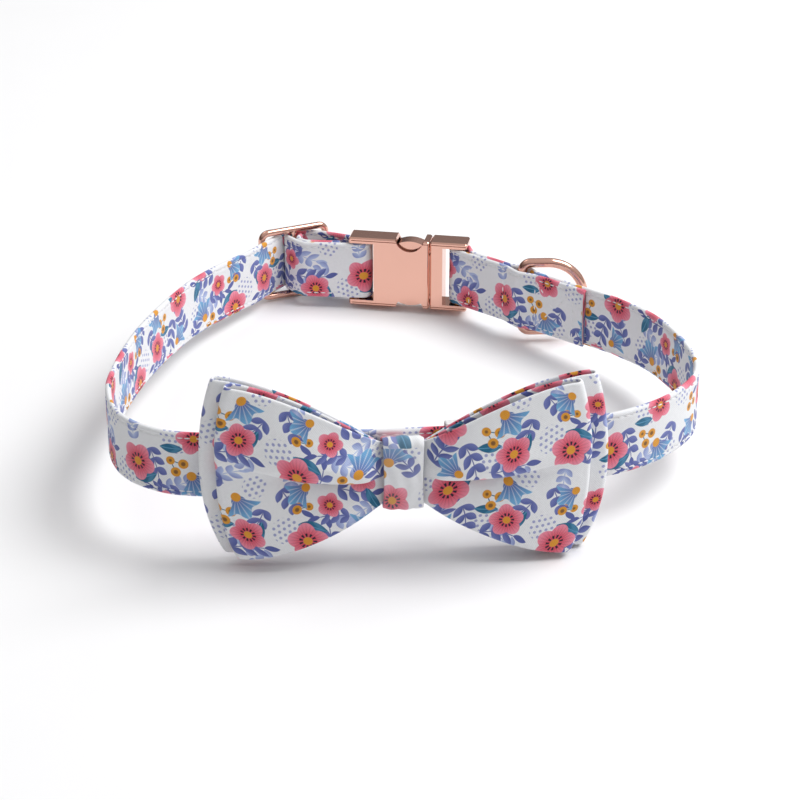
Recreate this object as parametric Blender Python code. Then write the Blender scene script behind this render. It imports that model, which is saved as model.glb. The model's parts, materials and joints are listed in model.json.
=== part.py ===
"""Pet bow tie collar: a print-covered strap on a metal side-release buckle, with a slider and a D-ring,
and a two-layer bow tie that stands in front on two elastic loops.

Everything is modelled in the loop's own frame, with the strap's middle height at z = 0 and the strap on edge,
then the whole is tilted about X so that it stands on the buckle and on the bow's lower corners.
Lengths are metres. In a piece's plan frame, u runs along the strap and n points out of the loop.
"""

import math
from collections import namedtuple

import bmesh
import bpy
from mathutils import Matrix, Vector

MM = 0.001

# Strap
STRAP_WIDTH = 20.0 * MM
STRAP_THICK = 1.6 * MM
STRAP_EDGE_CHAMFER = 0.4 * MM
PLY_GAP = 0.3 * MM
BAR_CLEARANCE = 0.3 * MM
STRAP_STEP = 5.0 * MM
ARC_STEP = math.radians(24)

# Loop seen from above, outside to outside
LOOP_WIDTH = 175.0 * MM
LOOP_DEPTH = 155.0 * MM

# Side-release buckle
BUCKLE_THICK = 8.0 * MM
BUCKLE_RIM = 2.3 * MM
BUCKLE_WALL = 1.1 * MM
BUCKLE_BEVEL = 0.5 * MM
SOCKET_LENGTH = 27.7 * MM
SEAM_GAP = 0.3 * MM
PLUG_LENGTH = 12.6 * MM
BUCKLE_LENGTH = SOCKET_LENGTH + SEAM_GAP + PLUG_LENGTH
SOCKET_SLOT_PLAY = 1.0 * MM
SOCKET_BAR_INSET = 3.9 * MM
PLUG_BODY = 4.3 * MM
PLUG_BAR_INSET = 2.7 * MM
BUCKLE_BAR_RADIUS = 1.8 * MM
NOTCH_RADIUS = 5.0 * MM
NOTCH_RISE = 0.9 * MM
NOTCH_FROM_MOUTH = 6.7 * MM
GROOVE = 0.35 * MM
TONGUE_HALF_HEIGHT = 2.6 * MM
TONGUE_LENGTH = 15.0 * MM
BUCKLE_FIT = 0.3 * MM

# Release levers of the plug
LEVER_BAR = 2.4 * MM
LEVER_KNUCKLE_RADIUS = 1.7 * MM
LEVER_PIVOT_INSET = 1.4 * MM
LEVER_LENGTH = 11.0 * MM
BUTTON_HALF_WIDTH = 4.0 * MM
BUTTON_CROWN = 0.9 * MM
BUTTON_RECESS = 0.7 * MM

# Slider, a wire frame with a middle bar
SLIDER_LENGTH = 26.0 * MM
SLIDER_WIRE = 2.4 * MM
SLIDER_CORNER = 2.4 * MM
SLIDER_PLAY = 0.4 * MM

# D-ring, sewn between the plies
RING_WIRE = 3.2 * MM
RING_REACH = 22.0 * MM
RING_CORNER = 2.6 * MM
RING_PLAY = 0.4 * MM
RING_LEAN = math.radians(46)

# Folded ends and their stitch lines, measured along the doubled strap
FIRST_STITCH = 7.0 * MM
RING_FROM_BAR = 28.5 * MM
RING_STITCH_SPAN = 6.8 * MM
TAIL_FROM_BAR = 55.0 * MM
SHORT_TAIL = 7.5 * MM
PLY_BEND_RADIUS = 6.0 * MM
PINCH_RADIUS = 3.0 * MM

# Bow
BOW_CLOTH = 1.0 * MM
BOW_GAP = 0.3 * MM
BOW_RAISE = 0.8 * MM
BOW_TURN = math.radians(4.5)
KNOT_WIDTH = 11.5 * MM
KNOT_HEIGHT = 21.6 * MM
KNOT_RAISE = 1.4 * MM
ELASTIC_WIDTH = 8.0 * MM
ELASTIC_THICK = 1.0 * MM
ELASTIC_FROM_MIDDLE = 17.0 * MM

# Where the strap's middle line runs from the slider round the front to the D-ring, as shares of the
# loop's width and depth
PlanPoint = namedtuple("PlanPoint", "place across back")
PLAN = (
    PlanPoint("far left shoulder", -0.370, 0.527),
    PlanPoint("upper left side", -0.423, 0.385),
    PlanPoint("left side", -0.463, 0.225),
    PlanPoint("lower left side", -0.485, 0.065),
    PlanPoint("left turn", -0.486, -0.055),
    PlanPoint("left turn end", -0.460, -0.155),
    PlanPoint("left cheek", -0.408, -0.218),
    PlanPoint("left of the bow", -0.330, -0.248),
    PlanPoint("behind the left wing", -0.165, -0.243),
    PlanPoint("behind the knot", 0.000, -0.230),
    PlanPoint("behind the right wing", 0.165, -0.207),
    PlanPoint("right of the bow", 0.318, -0.176),
    PlanPoint("right cheek", 0.415, -0.115),
    PlanPoint("right turn", 0.485, -0.020),
    PlanPoint("right turn end", 0.507, 0.075),
    PlanPoint("right side", 0.488, 0.205),
    PlanPoint("far right side", 0.450, 0.310),
    PlanPoint("far right shoulder", 0.395, 0.392),
)
# The rigid pieces' middles in the same shares, and how far each is turned from the X axis
Seat = namedtuple("Seat", "across back turn_deg")
BUCKLE_SEAT = Seat(0.018, 0.702, -10.0)
SLIDER_SEAT = Seat(-0.209, 0.761, 26.0)
# The strap's first point beyond the slider's left end, along it and towards the inside
SLIDER_LEAD = 5.6 * MM
SLIDER_LEAD_IN = 7.5 * MM
# The front ply's bend, from the slider's middle along it and towards the inside
PLY_BEND_ALONG = 1.1 * MM
PLY_BEND_IN = 9.0 * MM
# Direction of the doubled strap that leaves the plug
DOUBLED_RUN_TURN = math.radians(-42)

# Each bow layer: lengths are shares of BOW_LENGTH, BOW_HEIGHT and BOW_DEPTH
BOW_LENGTH = 113.8 * MM
BOW_HEIGHT = 53.6 * MM
BOW_DEPTH = 5.6 * MM
BOW_BACK_SET = 0.6 * MM
FOLD_SHARE = 0.95
EDGE_FALL = 0.35
BowLayer = namedtuple("BowLayer", "name half_length half_height bulge pull_top pull_low pleat")
BOW_LAYERS = (
    BowLayer("bow_back", 0.500, 0.500, 0.22, 0.038, 0.056, 0.00),
    BowLayer("bow_front", 0.462, 0.492, 0.45, 0.032, 0.050, 0.36),
)
# The pleat's line rises from the knot to the wing's end, in shares of the layer's half height
PLEAT_AT_KNOT = -0.10
PLEAT_AT_END = 0.09
PLEAT_EDGE = 0.07
# How far the pleat's two sides spread from its line, and how much the lower side falls for the upper's rise
PLEAT_SPREAD_ABOVE = 0.55
PLEAT_SPREAD_BELOW = 0.45
PLEAT_FALL = 0.8
PLEAT_RAMP = 8.0
WING_FLARE = 1.55
CORNER_PULL_POWER = 2.2
BACK_SET_RAMP = 1.4
SPREAD_RAMP = 3.0
SWELL_START = 0.06
SWELL_POWER = 0.8
BOW_PANEL_STEPS = 9
BOW_FOLD_STEPS = 3
BOW_ROWS = 12

Pulley = namedtuple("Pulley", "centre radius side")


def clear_scene():
    for obj in list(bpy.data.objects):
        bpy.data.objects.remove(obj, do_unlink=True)


def material(name, colour, roughness, metallic):
    made = bpy.data.materials.new(name)
    made.use_nodes = True
    shader = made.node_tree.nodes["Principled BSDF"]
    shader.inputs["Base Color"].default_value = (*colour, 1.0)
    shader.inputs["Roughness"].default_value = roughness
    shader.inputs["Metallic"].default_value = metallic
    return made


def empty(name, parent=None, location=(0, 0, 0), turn=0.0):
    made = bpy.data.objects.new(name, None)
    made.empty_display_size = 10 * MM
    made.location = location
    made.rotation_euler.z = turn
    made.parent = parent
    bpy.context.scene.collection.objects.link(made)
    return made


def solid(name, bm, parent, finish, location=(0, 0, 0), turn=0.0, smooth_deg=35):
    bmesh.ops.recalc_face_normals(bm, faces=bm.faces)
    mesh = bpy.data.meshes.new(name)
    bm.to_mesh(mesh)
    bm.free()
    mesh.shade_smooth()
    mesh.set_sharp_from_angle(angle=math.radians(smooth_deg))
    mesh.materials.append(finish)
    obj = bpy.data.objects.new(name, mesh)
    obj.location = location
    obj.rotation_euler.z = turn
    obj.parent = parent
    bpy.context.scene.collection.objects.link(obj)
    return obj


def cutter(name, bm, parent, location=(0, 0, 0)):
    obj = solid(name, bm, parent, bpy.data.materials[0], location)
    obj.hide_render = True
    obj.display_type = "WIRE"
    return obj


def combine(obj, other, operation):
    modifier = obj.modifiers.new(other.name, "BOOLEAN")
    modifier.operation = operation
    modifier.object = other
    return modifier


def box(low, high, bevel=0.0):
    """A box from corner to corner, its edges bevelled once."""
    bm = bmesh.new()
    size = Vector(high) - Vector(low)
    middle = (Vector(high) + Vector(low)) / 2
    place = Matrix.Translation(middle) @ Matrix.Diagonal((*size, 1.0))
    bmesh.ops.create_cube(bm, size=1.0, matrix=place)
    if bevel > 0:
        bmesh.ops.bevel(bm, geom=bm.edges[:], offset=bevel, segments=1, affect="EDGES")
    return bm


def rod(radius, length, sides, middle, axis="Z"):
    """A closed cylinder along one axis."""
    turns = {
        "X": Matrix.Rotation(math.pi / 2, 4, "Y"),
        "Y": Matrix.Rotation(math.pi / 2, 4, "X"),
        "Z": Matrix.Identity(4),
    }
    bm = bmesh.new()
    bmesh.ops.create_cone(
        bm,
        cap_ends=True,
        segments=sides,
        radius1=radius,
        radius2=radius,
        depth=length,
        matrix=Matrix.Translation(middle) @ turns[axis],
    )
    return bm


def prism(outline, half_depth):
    """An outline in u and z, extruded along n to both sides."""
    bm = bmesh.new()
    near = [bm.verts.new((u, -half_depth, z)) for u, z in outline]
    face = bm.faces.new(near)
    pushed = bmesh.ops.extrude_face_region(bm, geom=[face])
    moved = [item for item in pushed["geom"] if isinstance(item, bmesh.types.BMVert)]
    bmesh.ops.translate(bm, verts=moved, vec=(0, 2 * half_depth, 0))
    return bm


def wire_ring(path, radius, sides=8):
    """A closed round wire along points in the plane of u and z."""
    bm = bmesh.new()
    count = len(path)
    rings = []
    for i, point in enumerate(path):
        along = (path[(i + 1) % count] - path[i - 1]).normalized()
        out = Vector((along.z, 0, -along.x))
        ring = []
        for k in range(sides):
            angle = 2 * math.pi * (k + 0.5) / sides
            offset = out * math.cos(angle) + Vector((0, 1, 0)) * math.sin(angle)
            ring.append(bm.verts.new(point + offset * radius))
        rings.append(ring)
    for i in range(count):
        bridge(bm, rings[i], rings[(i + 1) % count])
    return bm


def bridge(bm, ring, following):
    count = len(ring)
    for k in range(count):
        bm.faces.new((ring[k], ring[(k + 1) % count], following[(k + 1) % count], following[k]))


def rounded_loop(low, high, corner, steps=3):
    """A rectangle in u and z with round corners, as points running round it."""
    middles = (
        (high[0] - corner, high[1] - corner, 0.0),
        (low[0] + corner, high[1] - corner, 0.5 * math.pi),
        (low[0] + corner, low[1] + corner, math.pi),
        (high[0] - corner, low[1] + corner, 1.5 * math.pi),
    )
    points = []
    for u, z, start in middles:
        for k in range(steps + 1):
            angle = start + 0.5 * math.pi * k / steps
            points.append(Vector((u + corner * math.cos(angle), 0, z + corner * math.sin(angle))))
    return points


class PlanFrame:
    """A place in the plan with its own directions along the strap (u) and out of the loop (n)."""

    def __init__(self, x, y, turn):
        self.origin = Vector((x, y))
        self.turn = turn
        self.u = Vector((math.cos(turn), math.sin(turn)))
        self.n = Vector((-math.sin(turn), math.cos(turn)))

    def at(self, u, n=0.0):
        return self.origin + self.u * u + self.n * n


def seat_frame(seat):
    return PlanFrame(seat.across * LOOP_WIDTH, seat.back * LOOP_DEPTH, math.radians(seat.turn_deg))


def loop_curve():
    """The strap's middle line from the slider through PLAN, as a smooth curve with even steps."""
    knots = [seat_frame(SLIDER_SEAT).at(-SLIDER_LENGTH / 2 - SLIDER_LEAD, -SLIDER_LEAD_IN)]
    knots += [Vector((p.across * LOOP_WIDTH, p.back * LOOP_DEPTH)) for p in PLAN]
    first = knots[0] * 2 - knots[1]
    last = knots[-1] * 2 - knots[-2]
    padded = [first, *knots, last]
    points = []
    for i in range(1, len(padded) - 2):
        a, b, c, d = padded[i - 1 : i + 3]
        steps = max(2, math.ceil((c - b).length / STRAP_STEP))
        for k in range(steps):
            points.append(spline_point(a, b, c, d, k / steps))
    points.append(knots[-1])
    return points


def spline_point(a, b, c, d, t):
    return 0.5 * (2 * b + (c - a) * t + (2 * a - 5 * b + 4 * c - d) * t * t + (3 * b - a - 3 * c + d) * t**3)


def tangent_heading(first, second):
    """Heading of the straight run that leaves one pulley and meets the next."""
    gap = second.centre - first.centre
    shift = second.side * second.radius - first.side * first.radius
    return math.atan2(gap.y, gap.x) - math.asin(max(-1.0, min(1.0, shift / gap.length)))


def on_pulley(pulley, heading):
    left = Vector((-math.sin(heading), math.cos(heading)))
    return pulley.centre - left * (pulley.side * pulley.radius)


def belt(pulleys):
    """Points of a belt that runs round each pulley in turn. A pulley of no radius is a plain point."""
    headings = [tangent_heading(a, b) for a, b in zip(pulleys, pulleys[1:])]
    points = [pulleys[0].centre]
    for i in range(1, len(pulleys) - 1):
        pulley = pulleys[i]
        if pulley.radius == 0:
            points.append(pulley.centre)
            continue
        start = headings[i - 1]
        sweep = (headings[i] - start) % (2 * math.pi)
        if pulley.side < 0:
            sweep -= 2 * math.pi
        if abs(sweep) > 1.6 * math.pi:
            sweep = 0.0
        steps = max(1, math.ceil(abs(sweep) / ARC_STEP))
        for k in range(steps + 1):
            points.append(on_pulley(pulley, start + sweep * k / steps))
    points.append(pulleys[-1].centre)
    return points


def spaced(points, step):
    """The same path with its long straight runs divided, and points that nearly meet left out."""
    kept = [points[0]]
    for point in points[1:]:
        run = (point - kept[-1]).length
        if run < 0.15 * MM:
            continue
        start = kept[-1]
        parts = max(1, math.ceil(run / (2 * step)))
        for k in range(1, parts + 1):
            kept.append(start.lerp(point, k / parts))
    return kept


def bend_through(point, radius, side, out, towards):
    """A pulley that touches a point, with its middle on the outer (+1) or inner (-1) side."""
    return Pulley(point + out * (radius * towards), radius, side)


def doubled_run():
    """Frame of the doubled strap that leaves the plug: u runs from the plug's bar to the tail."""
    bar = plug_bar()
    turn = DOUBLED_RUN_TURN
    frame = PlanFrame(bar.x, bar.y, turn)
    return PlanFrame(*frame.at(0, -BUCKLE_BAR_RADIUS), turn)


def plug_bar():
    return seat_frame(BUCKLE_SEAT).at(BUCKLE_LENGTH / 2 - PLUG_BAR_INSET)


def socket_bar():
    return seat_frame(BUCKLE_SEAT).at(-BUCKLE_LENGTH / 2 + SOCKET_BAR_INSET)


def ring_bar():
    return doubled_run().at(RING_FROM_BAR)


def wrap_radius(bar_radius, plies_inside=0):
    inside = plies_inside * (STRAP_THICK + PLY_GAP)
    return bar_radius + BAR_CLEARANCE + inside + STRAP_THICK / 2


def strap_route():
    """The whole strap as one belt: from the tail sewn at the slider, round every bar, to the tail at the D-ring."""
    pitch = STRAP_THICK + PLY_GAP
    slider = seat_frame(SLIDER_SEAT)
    buckle = seat_frame(BUCKLE_SEAT)
    bar_reach = (SLIDER_LENGTH - SLIDER_WIRE) / 2
    bend_at = slider.at(PLY_BEND_ALONG, -PLY_BEND_IN)
    bend = bend_through(bend_at, PLY_BEND_RADIUS, 1, buckle.n, 1)
    end_bar = Pulley(socket_bar(), wrap_radius(BUCKLE_BAR_RADIUS), 1)
    middle_bar = Pulley(slider.at(0), wrap_radius(SLIDER_WIRE / 2), 1)
    front_heading = tangent_heading(bend, end_bar)
    front_along = Vector((math.cos(front_heading), math.sin(front_heading)))
    front_left = Vector((-front_along.y, front_along.x))
    short_tail = on_pulley(end_bar, front_heading) - front_along * SHORT_TAIL + front_left * pitch
    route = [
        Pulley(short_tail, 0.0, 1),
        Pulley(bend.centre, bend.radius - pitch, -1),
        middle_bar,
        bend,
        end_bar,
        Pulley(slider.at(bar_reach), wrap_radius(SLIDER_WIRE / 2), -1),
        Pulley(slider.at(0), wrap_radius(SLIDER_WIRE / 2, 1), 1),
        Pulley(slider.at(-bar_reach), wrap_radius(SLIDER_WIRE / 2), -1),
    ]
    route += [Pulley(point, 0.0, 1) for point in loop_curve()]
    run = doubled_run()
    ring_wrap = Pulley(ring_bar(), wrap_radius(RING_WIRE / 2), 1)
    places = (RING_FROM_BAR + RING_STITCH_SPAN, RING_FROM_BAR - RING_STITCH_SPAN, FIRST_STITCH)
    outer = [bend_through(run.at(u, pitch / 2), PINCH_RADIUS, -1, run.n, 1) for u in places]
    inner = [bend_through(run.at(u, -pitch / 2), PINCH_RADIUS, -1, run.n, -1) for u in reversed(places)]
    route += [Pulley(run.at(TAIL_FROM_BAR, pitch / 2), 0.0, 1), outer[0], ring_wrap, outer[1], outer[2]]
    route += [Pulley(plug_bar(), wrap_radius(BUCKLE_BAR_RADIUS), 1)]
    route += [inner[0], inner[1], ring_wrap, inner[2], Pulley(run.at(TAIL_FROM_BAR, -pitch / 2), 0.0, 1)]
    return spaced(belt(route), STRAP_STEP)


def plan_normals(points):
    """Unit normals to the left of travel, mitred where the path turns."""
    normals = []
    last = len(points) - 1
    for i, point in enumerate(points):
        before = (point - points[max(i - 1, 0)]).normalized() if i > 0 else None
        after = (points[min(i + 1, last)] - point).normalized() if i < last else None
        before = before or after
        after = after or before
        along = (before + after).normalized()
        stretch = 1 / max(0.6, along.dot(after))
        normals.append(Vector((-along.y, along.x)) * stretch)
    return normals


def strap_solid(parent, finish):
    points = strap_route()
    normals = plan_normals(points)
    half_t = STRAP_THICK / 2
    half_w = STRAP_WIDTH / 2
    c = STRAP_EDGE_CHAMFER
    section = (
        (half_t, -half_w + c),
        (half_t, half_w - c),
        (half_t - c, half_w),
        (-half_t + c, half_w),
        (-half_t, half_w - c),
        (-half_t, -half_w + c),
        (-half_t + c, -half_w),
        (half_t - c, -half_w),
    )
    bm = bmesh.new()
    rings = []
    for point, normal in zip(points, normals):
        ring = []
        for out, z in section:
            place = point + normal * out
            ring.append(bm.verts.new((place.x, place.y, z)))
        rings.append(ring)
    for ring, following in zip(rings, rings[1:]):
        bridge(bm, ring, following)
    bm.faces.new(rings[0])
    bm.faces.new(list(reversed(rings[-1])))
    return solid("collar_strap", bm, parent, finish)


def buckle_half_height():
    return STRAP_WIDTH / 2 + BUCKLE_RIM


def socket_mouth():
    return -BUCKLE_LENGTH / 2 + SOCKET_LENGTH


def notch_middle():
    return socket_mouth() - NOTCH_FROM_MOUTH


def cut_grooves(obj, parent, low_u, high_u):
    """Fine steps along the long edges of both flat faces."""
    level = buckle_half_height() - BUCKLE_BEVEL - GROOVE
    for face in (-1, 1):
        for edge in (-1, 1):
            near, far = sorted((face * (BUCKLE_THICK / 2 - GROOVE), face * BUCKLE_THICK))
            low, high = sorted((edge * level, edge * (level - GROOVE)))
            name = f"{obj.name}_groove_{face + 1}{edge + 1}"
            strip = cutter(name, box((low_u, near, low), (high_u, far, high)), parent)
            combine(obj, strip, "DIFFERENCE")


def socket_solid(parent, finish):
    half = buckle_half_height()
    left = -BUCKLE_LENGTH / 2
    mouth = socket_mouth()
    slot_left = left + SOCKET_BAR_INSET - BUCKLE_BAR_RADIUS
    slot_right = left + SOCKET_BAR_INSET + wrap_radius(BUCKLE_BAR_RADIUS) + STRAP_THICK / 2 + SOCKET_SLOT_PLAY
    inner = STRAP_WIDTH / 2 + BUCKLE_FIT
    obj = solid(
        "buckle_socket",
        box((left, -BUCKLE_THICK / 2, -half), (mouth, BUCKLE_THICK / 2, half), BUCKLE_BEVEL),
        parent,
        finish,
    )
    open_end = box((left - BUCKLE_WALL, -BUCKLE_THICK, -inner), (slot_right, BUCKLE_THICK, inner))
    combine(obj, cutter("socket_strap_slot", open_end, parent), "DIFFERENCE")
    hollow = box(
        (slot_right + BUCKLE_WALL, -BUCKLE_THICK / 2 + BUCKLE_WALL, -half + BUCKLE_WALL),
        (mouth + BUCKLE_WALL, BUCKLE_THICK / 2 - BUCKLE_WALL, half - BUCKLE_WALL),
    )
    combine(obj, cutter("socket_hollow", hollow, parent), "DIFFERENCE")
    for side in (-1, 1):
        notch = rod(NOTCH_RADIUS, 2 * BUCKLE_THICK, 24, (notch_middle(), 0, side * (half + NOTCH_RISE)), "Y")
        combine(obj, cutter(f"socket_notch_{side + 1}", notch, parent), "DIFFERENCE")
    cut_grooves(obj, parent, slot_left - BUCKLE_WALL, mouth + BUCKLE_WALL)
    bar_middle = (left + SOCKET_BAR_INSET, 0, 0)
    bar = rod(BUCKLE_BAR_RADIUS, 2 * inner + BUCKLE_RIM, 12, bar_middle)
    combine(obj, cutter("socket_end_bar", bar, parent), "UNION")
    return obj


def lever_pivot(side):
    half = buckle_half_height()
    height = half - BUCKLE_WALL - BUCKLE_FIT - LEVER_KNUCKLE_RADIUS - BUTTON_CROWN
    return Vector((socket_mouth() - LEVER_PIVOT_INSET, 0, side * height))


def plug_solid(parent, finish):
    half = buckle_half_height()
    right = BUCKLE_LENGTH / 2
    face = socket_mouth() + SEAM_GAP
    inner = STRAP_WIDTH / 2 + BUCKLE_FIT
    fit = BUCKLE_WALL + BUCKLE_FIT
    obj = solid(
        "buckle_plug",
        box((face, -BUCKLE_THICK / 2, -half), (right, BUCKLE_THICK / 2, half), BUCKLE_BEVEL),
        parent,
        finish,
    )
    slot = box((face + PLUG_BODY, -BUCKLE_THICK, -inner), (right + BUCKLE_WALL, BUCKLE_THICK, inner))
    combine(obj, cutter("plug_strap_slot", slot, parent), "DIFFERENCE")
    cut_grooves(obj, parent, face - BUCKLE_WALL, right + BUCKLE_WALL)
    bar = rod(BUCKLE_BAR_RADIUS, 2 * inner + BUCKLE_RIM, 12, (right - PLUG_BAR_INSET, 0, 0))
    combine(obj, cutter("plug_bar", bar, parent), "UNION")
    depth = BUCKLE_THICK / 2 - fit
    root_left = socket_mouth() - LEVER_PIVOT_INSET - BUCKLE_FIT
    root_half = lever_pivot(1).z
    root = box((root_left, -depth, -root_half), (face + PLUG_BODY / 2, depth, root_half))
    combine(obj, cutter("plug_root", root, parent), "UNION")
    tongue = box(
        (face - TONGUE_LENGTH, -depth, -TONGUE_HALF_HEIGHT), (face + PLUG_BODY / 2, depth, TONGUE_HALF_HEIGHT)
    )
    combine(obj, cutter("plug_tongue", tongue, parent), "UNION")
    for side in (-1, 1):
        pocket = rod(LEVER_KNUCKLE_RADIUS + BUCKLE_FIT, 2 * BUCKLE_THICK, 16, lever_pivot(side), "Y")
        combine(obj, cutter(f"plug_pocket_{side + 1}", pocket, parent), "DIFFERENCE")
    return obj


def lever_outline(side):
    """The lever seen from its flat side, about its own pivot: a round knuckle, a bar and a crowned button."""
    pivot = lever_pivot(1)
    half = buckle_half_height()
    middle = notch_middle() - pivot.x
    crown = half - BUTTON_RECESS - pivot.z
    shoulder = crown - BUTTON_CROWN
    low = -LEVER_BAR / 2
    points = []
    for k in range(7):
        angle = math.radians(-90 + 30 * k)
        points.append((LEVER_KNUCKLE_RADIUS * math.cos(angle), LEVER_KNUCKLE_RADIUS * math.sin(angle)))
    for k in range(9):
        across = 1 - k / 4
        points.append((middle + across * BUTTON_HALF_WIDTH, shoulder + BUTTON_CROWN * (1 - across * across)))
    points.append((middle - BUTTON_HALF_WIDTH, -low))
    points.append((-LEVER_LENGTH, -low))
    points.append((-LEVER_LENGTH, low))
    points.append((-LEVER_KNUCKLE_RADIUS, low))
    return [(u, side * z) for u, z in points]


def lever_solid(name, side, parent, finish):
    half_depth = BUCKLE_THICK / 2 - BUCKLE_WALL - BUCKLE_FIT
    return solid(name, prism(lever_outline(side), half_depth), parent, finish, lever_pivot(side))


def slider_solid(parent, finish):
    wire = SLIDER_WIRE / 2
    half_u = SLIDER_LENGTH / 2 - wire
    half_z = STRAP_WIDTH / 2 + SLIDER_PLAY + wire
    path = rounded_loop((-half_u, -half_z), (half_u, half_z), SLIDER_CORNER)
    obj = solid("slider", wire_ring(path, wire), parent, finish)
    bar = rod(wire, 2 * half_z, 8, (0, 0, 0))
    combine(obj, cutter("slider_bar", bar, parent), "UNION")
    return obj


def ring_path():
    """The D of the ring in u and z, its straight bar on the hinge axis."""
    half = STRAP_WIDTH / 2 + RING_PLAY + RING_WIRE / 2
    straight = max(RING_REACH - RING_WIRE / 2 - half, RING_CORNER)
    bow = RING_REACH - RING_WIRE / 2 - straight
    points = []
    for k in range(4):
        angle = math.pi + 0.5 * math.pi * k / 3
        points.append(
            Vector((RING_CORNER * (1 + math.cos(angle)), 0, -half + RING_CORNER * (1 + math.sin(angle))))
        )
    for k in range(15):
        angle = -0.5 * math.pi + math.pi * k / 14
        points.append(Vector((straight + bow * math.cos(angle), 0, half * math.sin(angle))))
    for k in range(4):
        angle = 0.5 * math.pi + 0.5 * math.pi * k / 3
        points.append(
            Vector((RING_CORNER * (1 + math.cos(angle)), 0, half - RING_CORNER * (1 - math.sin(angle))))
        )
    return points


def ring_solid(parent, finish):
    bar = ring_bar()
    turn = DOUBLED_RUN_TURN + math.pi / 2 - RING_LEAN
    return solid("d_ring", wire_ring(ring_path(), RING_WIRE / 2), parent, finish, (bar.x, bar.y, 0), turn)


def bow_frame():
    """Plan frame of the bow: u to its right, n from the strap's outer face towards the viewer."""
    knot = next(p for p in PLAN if p.place == "behind the knot")
    x, y = knot.across * LOOP_WIDTH, knot.back * LOOP_DEPTH
    frame = PlanFrame(x, y, BOW_TURN)
    return PlanFrame(*frame.at(0, -STRAP_THICK / 2), BOW_TURN)


def cloth_ring(name, grid, normals, thickness, parent, finish, location, turn):
    """A closed band of cloth: grid[i][j] runs round the band by i and across it by j."""
    bm = bmesh.new()
    half = thickness / 2
    outer = [[bm.verts.new(p + n * half) for p, n in zip(row, row_n)] for row, row_n in zip(grid, normals)]
    inner = [[bm.verts.new(p - n * half) for p, n in zip(row, row_n)] for row, row_n in zip(grid, normals)]
    count = len(grid)
    last = len(grid[0]) - 1
    for i in range(count):
        k = (i + 1) % count
        for j in range(last):
            bm.faces.new((outer[i][j], outer[k][j], outer[k][j + 1], outer[i][j + 1]))
            bm.faces.new((inner[i][j + 1], inner[k][j + 1], inner[k][j], inner[i][j]))
        bm.faces.new((inner[i][0], inner[k][0], outer[k][0], outer[i][0]))
        bm.faces.new((outer[i][last], outer[k][last], inner[k][last], inner[i][last]))
    return solid(name, bm, parent, finish, location, turn, 50)


def smooth_step(value):
    value = max(0.0, min(1.0, value))
    return value * value * (3 - 2 * value)


def layer_back_level(index):
    """How far a layer's back panel stands from the strap at the knot."""
    pitch = BOW_CLOTH + BOW_GAP
    return BOW_GAP + ELASTIC_THICK + BOW_GAP + BOW_CLOTH / 2 + pitch * 2 * index


def band_edge():
    """Half the width over which the band pinches the layers."""
    return KNOT_WIDTH / 2 + BOW_GAP


def bow_half_height(layer, p):
    """Half the height of a layer: pinched under the band, then flaring to the wing's end."""
    end = layer.half_height * BOW_HEIGHT
    pinched = KNOT_HEIGHT / 2 - BOW_CLOTH - 2 * BOW_GAP - abs(KNOT_RAISE - BOW_RAISE)
    start = band_edge() / wing_reach(layer)
    free = max(0.0, (p - start) / (1 - start))
    return pinched + (end - pinched) * (1 - (1 - free) ** WING_FLARE)


def wing_reach(layer):
    """From the knot's middle to where the panels turn into the fold, at the layer's middle height."""
    return layer.half_length * BOW_LENGTH - fold_radius()


def back_level(index, x):
    """How far a layer's back panel stands from the strap, at a distance from the knot's middle."""
    if index == 0:
        share = min(1.0, x / wing_reach(BOW_LAYERS[0]))
        return layer_back_level(0) + BOW_BACK_SET * smooth_step(share * BACK_SET_RAMP)
    return plain_front_level(index - 1, x) + BOW_CLOTH + BOW_GAP


def plain_front_level(index, x):
    """The same for the front panel, without its pleat and its fall towards the edges."""
    layer = BOW_LAYERS[index]
    share = min(1.0, x / wing_reach(layer))
    spread = 2 * fold_radius() - BOW_CLOTH - BOW_GAP
    closed = back_level(index, x) + BOW_CLOTH + BOW_GAP
    return closed + spread * smooth_step(share * SPREAD_RAMP) + BOW_DEPTH * layer.bulge * swell(share)


def swell(share):
    """Share of a panel's bulge: part of it at the knot, most in the middle, none at the wing's end."""
    along = SWELL_START + (1 - SWELL_START) * share
    return math.sin(math.pi * min(1.0, along)) ** SWELL_POWER


def wing_point(layer, index, p, v, panel):
    """A point of one wing: p from knot to end, v from bottom to top, panel 0 at the back and 1 in front."""
    pull = layer.pull_top if v > 0 else layer.pull_low
    reach = wing_reach(layer) - pull * BOW_LENGTH * abs(v) ** CORNER_PULL_POWER
    height = v * bow_half_height(layer, p)
    if panel == 0:
        return reach * p, back_level(index, reach * p), height
    front = plain_front_level(index, reach * p)
    if layer.pleat == 0:
        return reach * p, front, height
    front -= BOW_DEPTH * layer.bulge * swell(p) * EDGE_FALL * v * v
    line = PLEAT_AT_KNOT + (PLEAT_AT_END - PLEAT_AT_KNOT) * p
    free = max(0.0, reach * p - band_edge()) / reach
    depth = layer.pleat * BOW_DEPTH * (1 - smooth_step(p)) * smooth_step(free * PLEAT_RAMP)
    over = smooth_step((v - line) / PLEAT_EDGE + 0.5)
    below = math.exp(-max(0.0, line - v) / PLEAT_SPREAD_BELOW)
    above = math.exp(-max(0.0, v - line) / PLEAT_SPREAD_ABOVE)
    front += depth * (over * above - PLEAT_FALL * (1 - over) * below)
    return reach * p, front, height


def fold_radius():
    return FOLD_SHARE * (BOW_CLOTH + BOW_GAP)


def panel_shares(edge, steps):
    """Stations along a panel: the knot's middle, the band's edge, then even steps to the wing's end."""
    return [0.0] + [edge + (1 - edge) * k / steps for k in range(steps + 1)]


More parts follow.
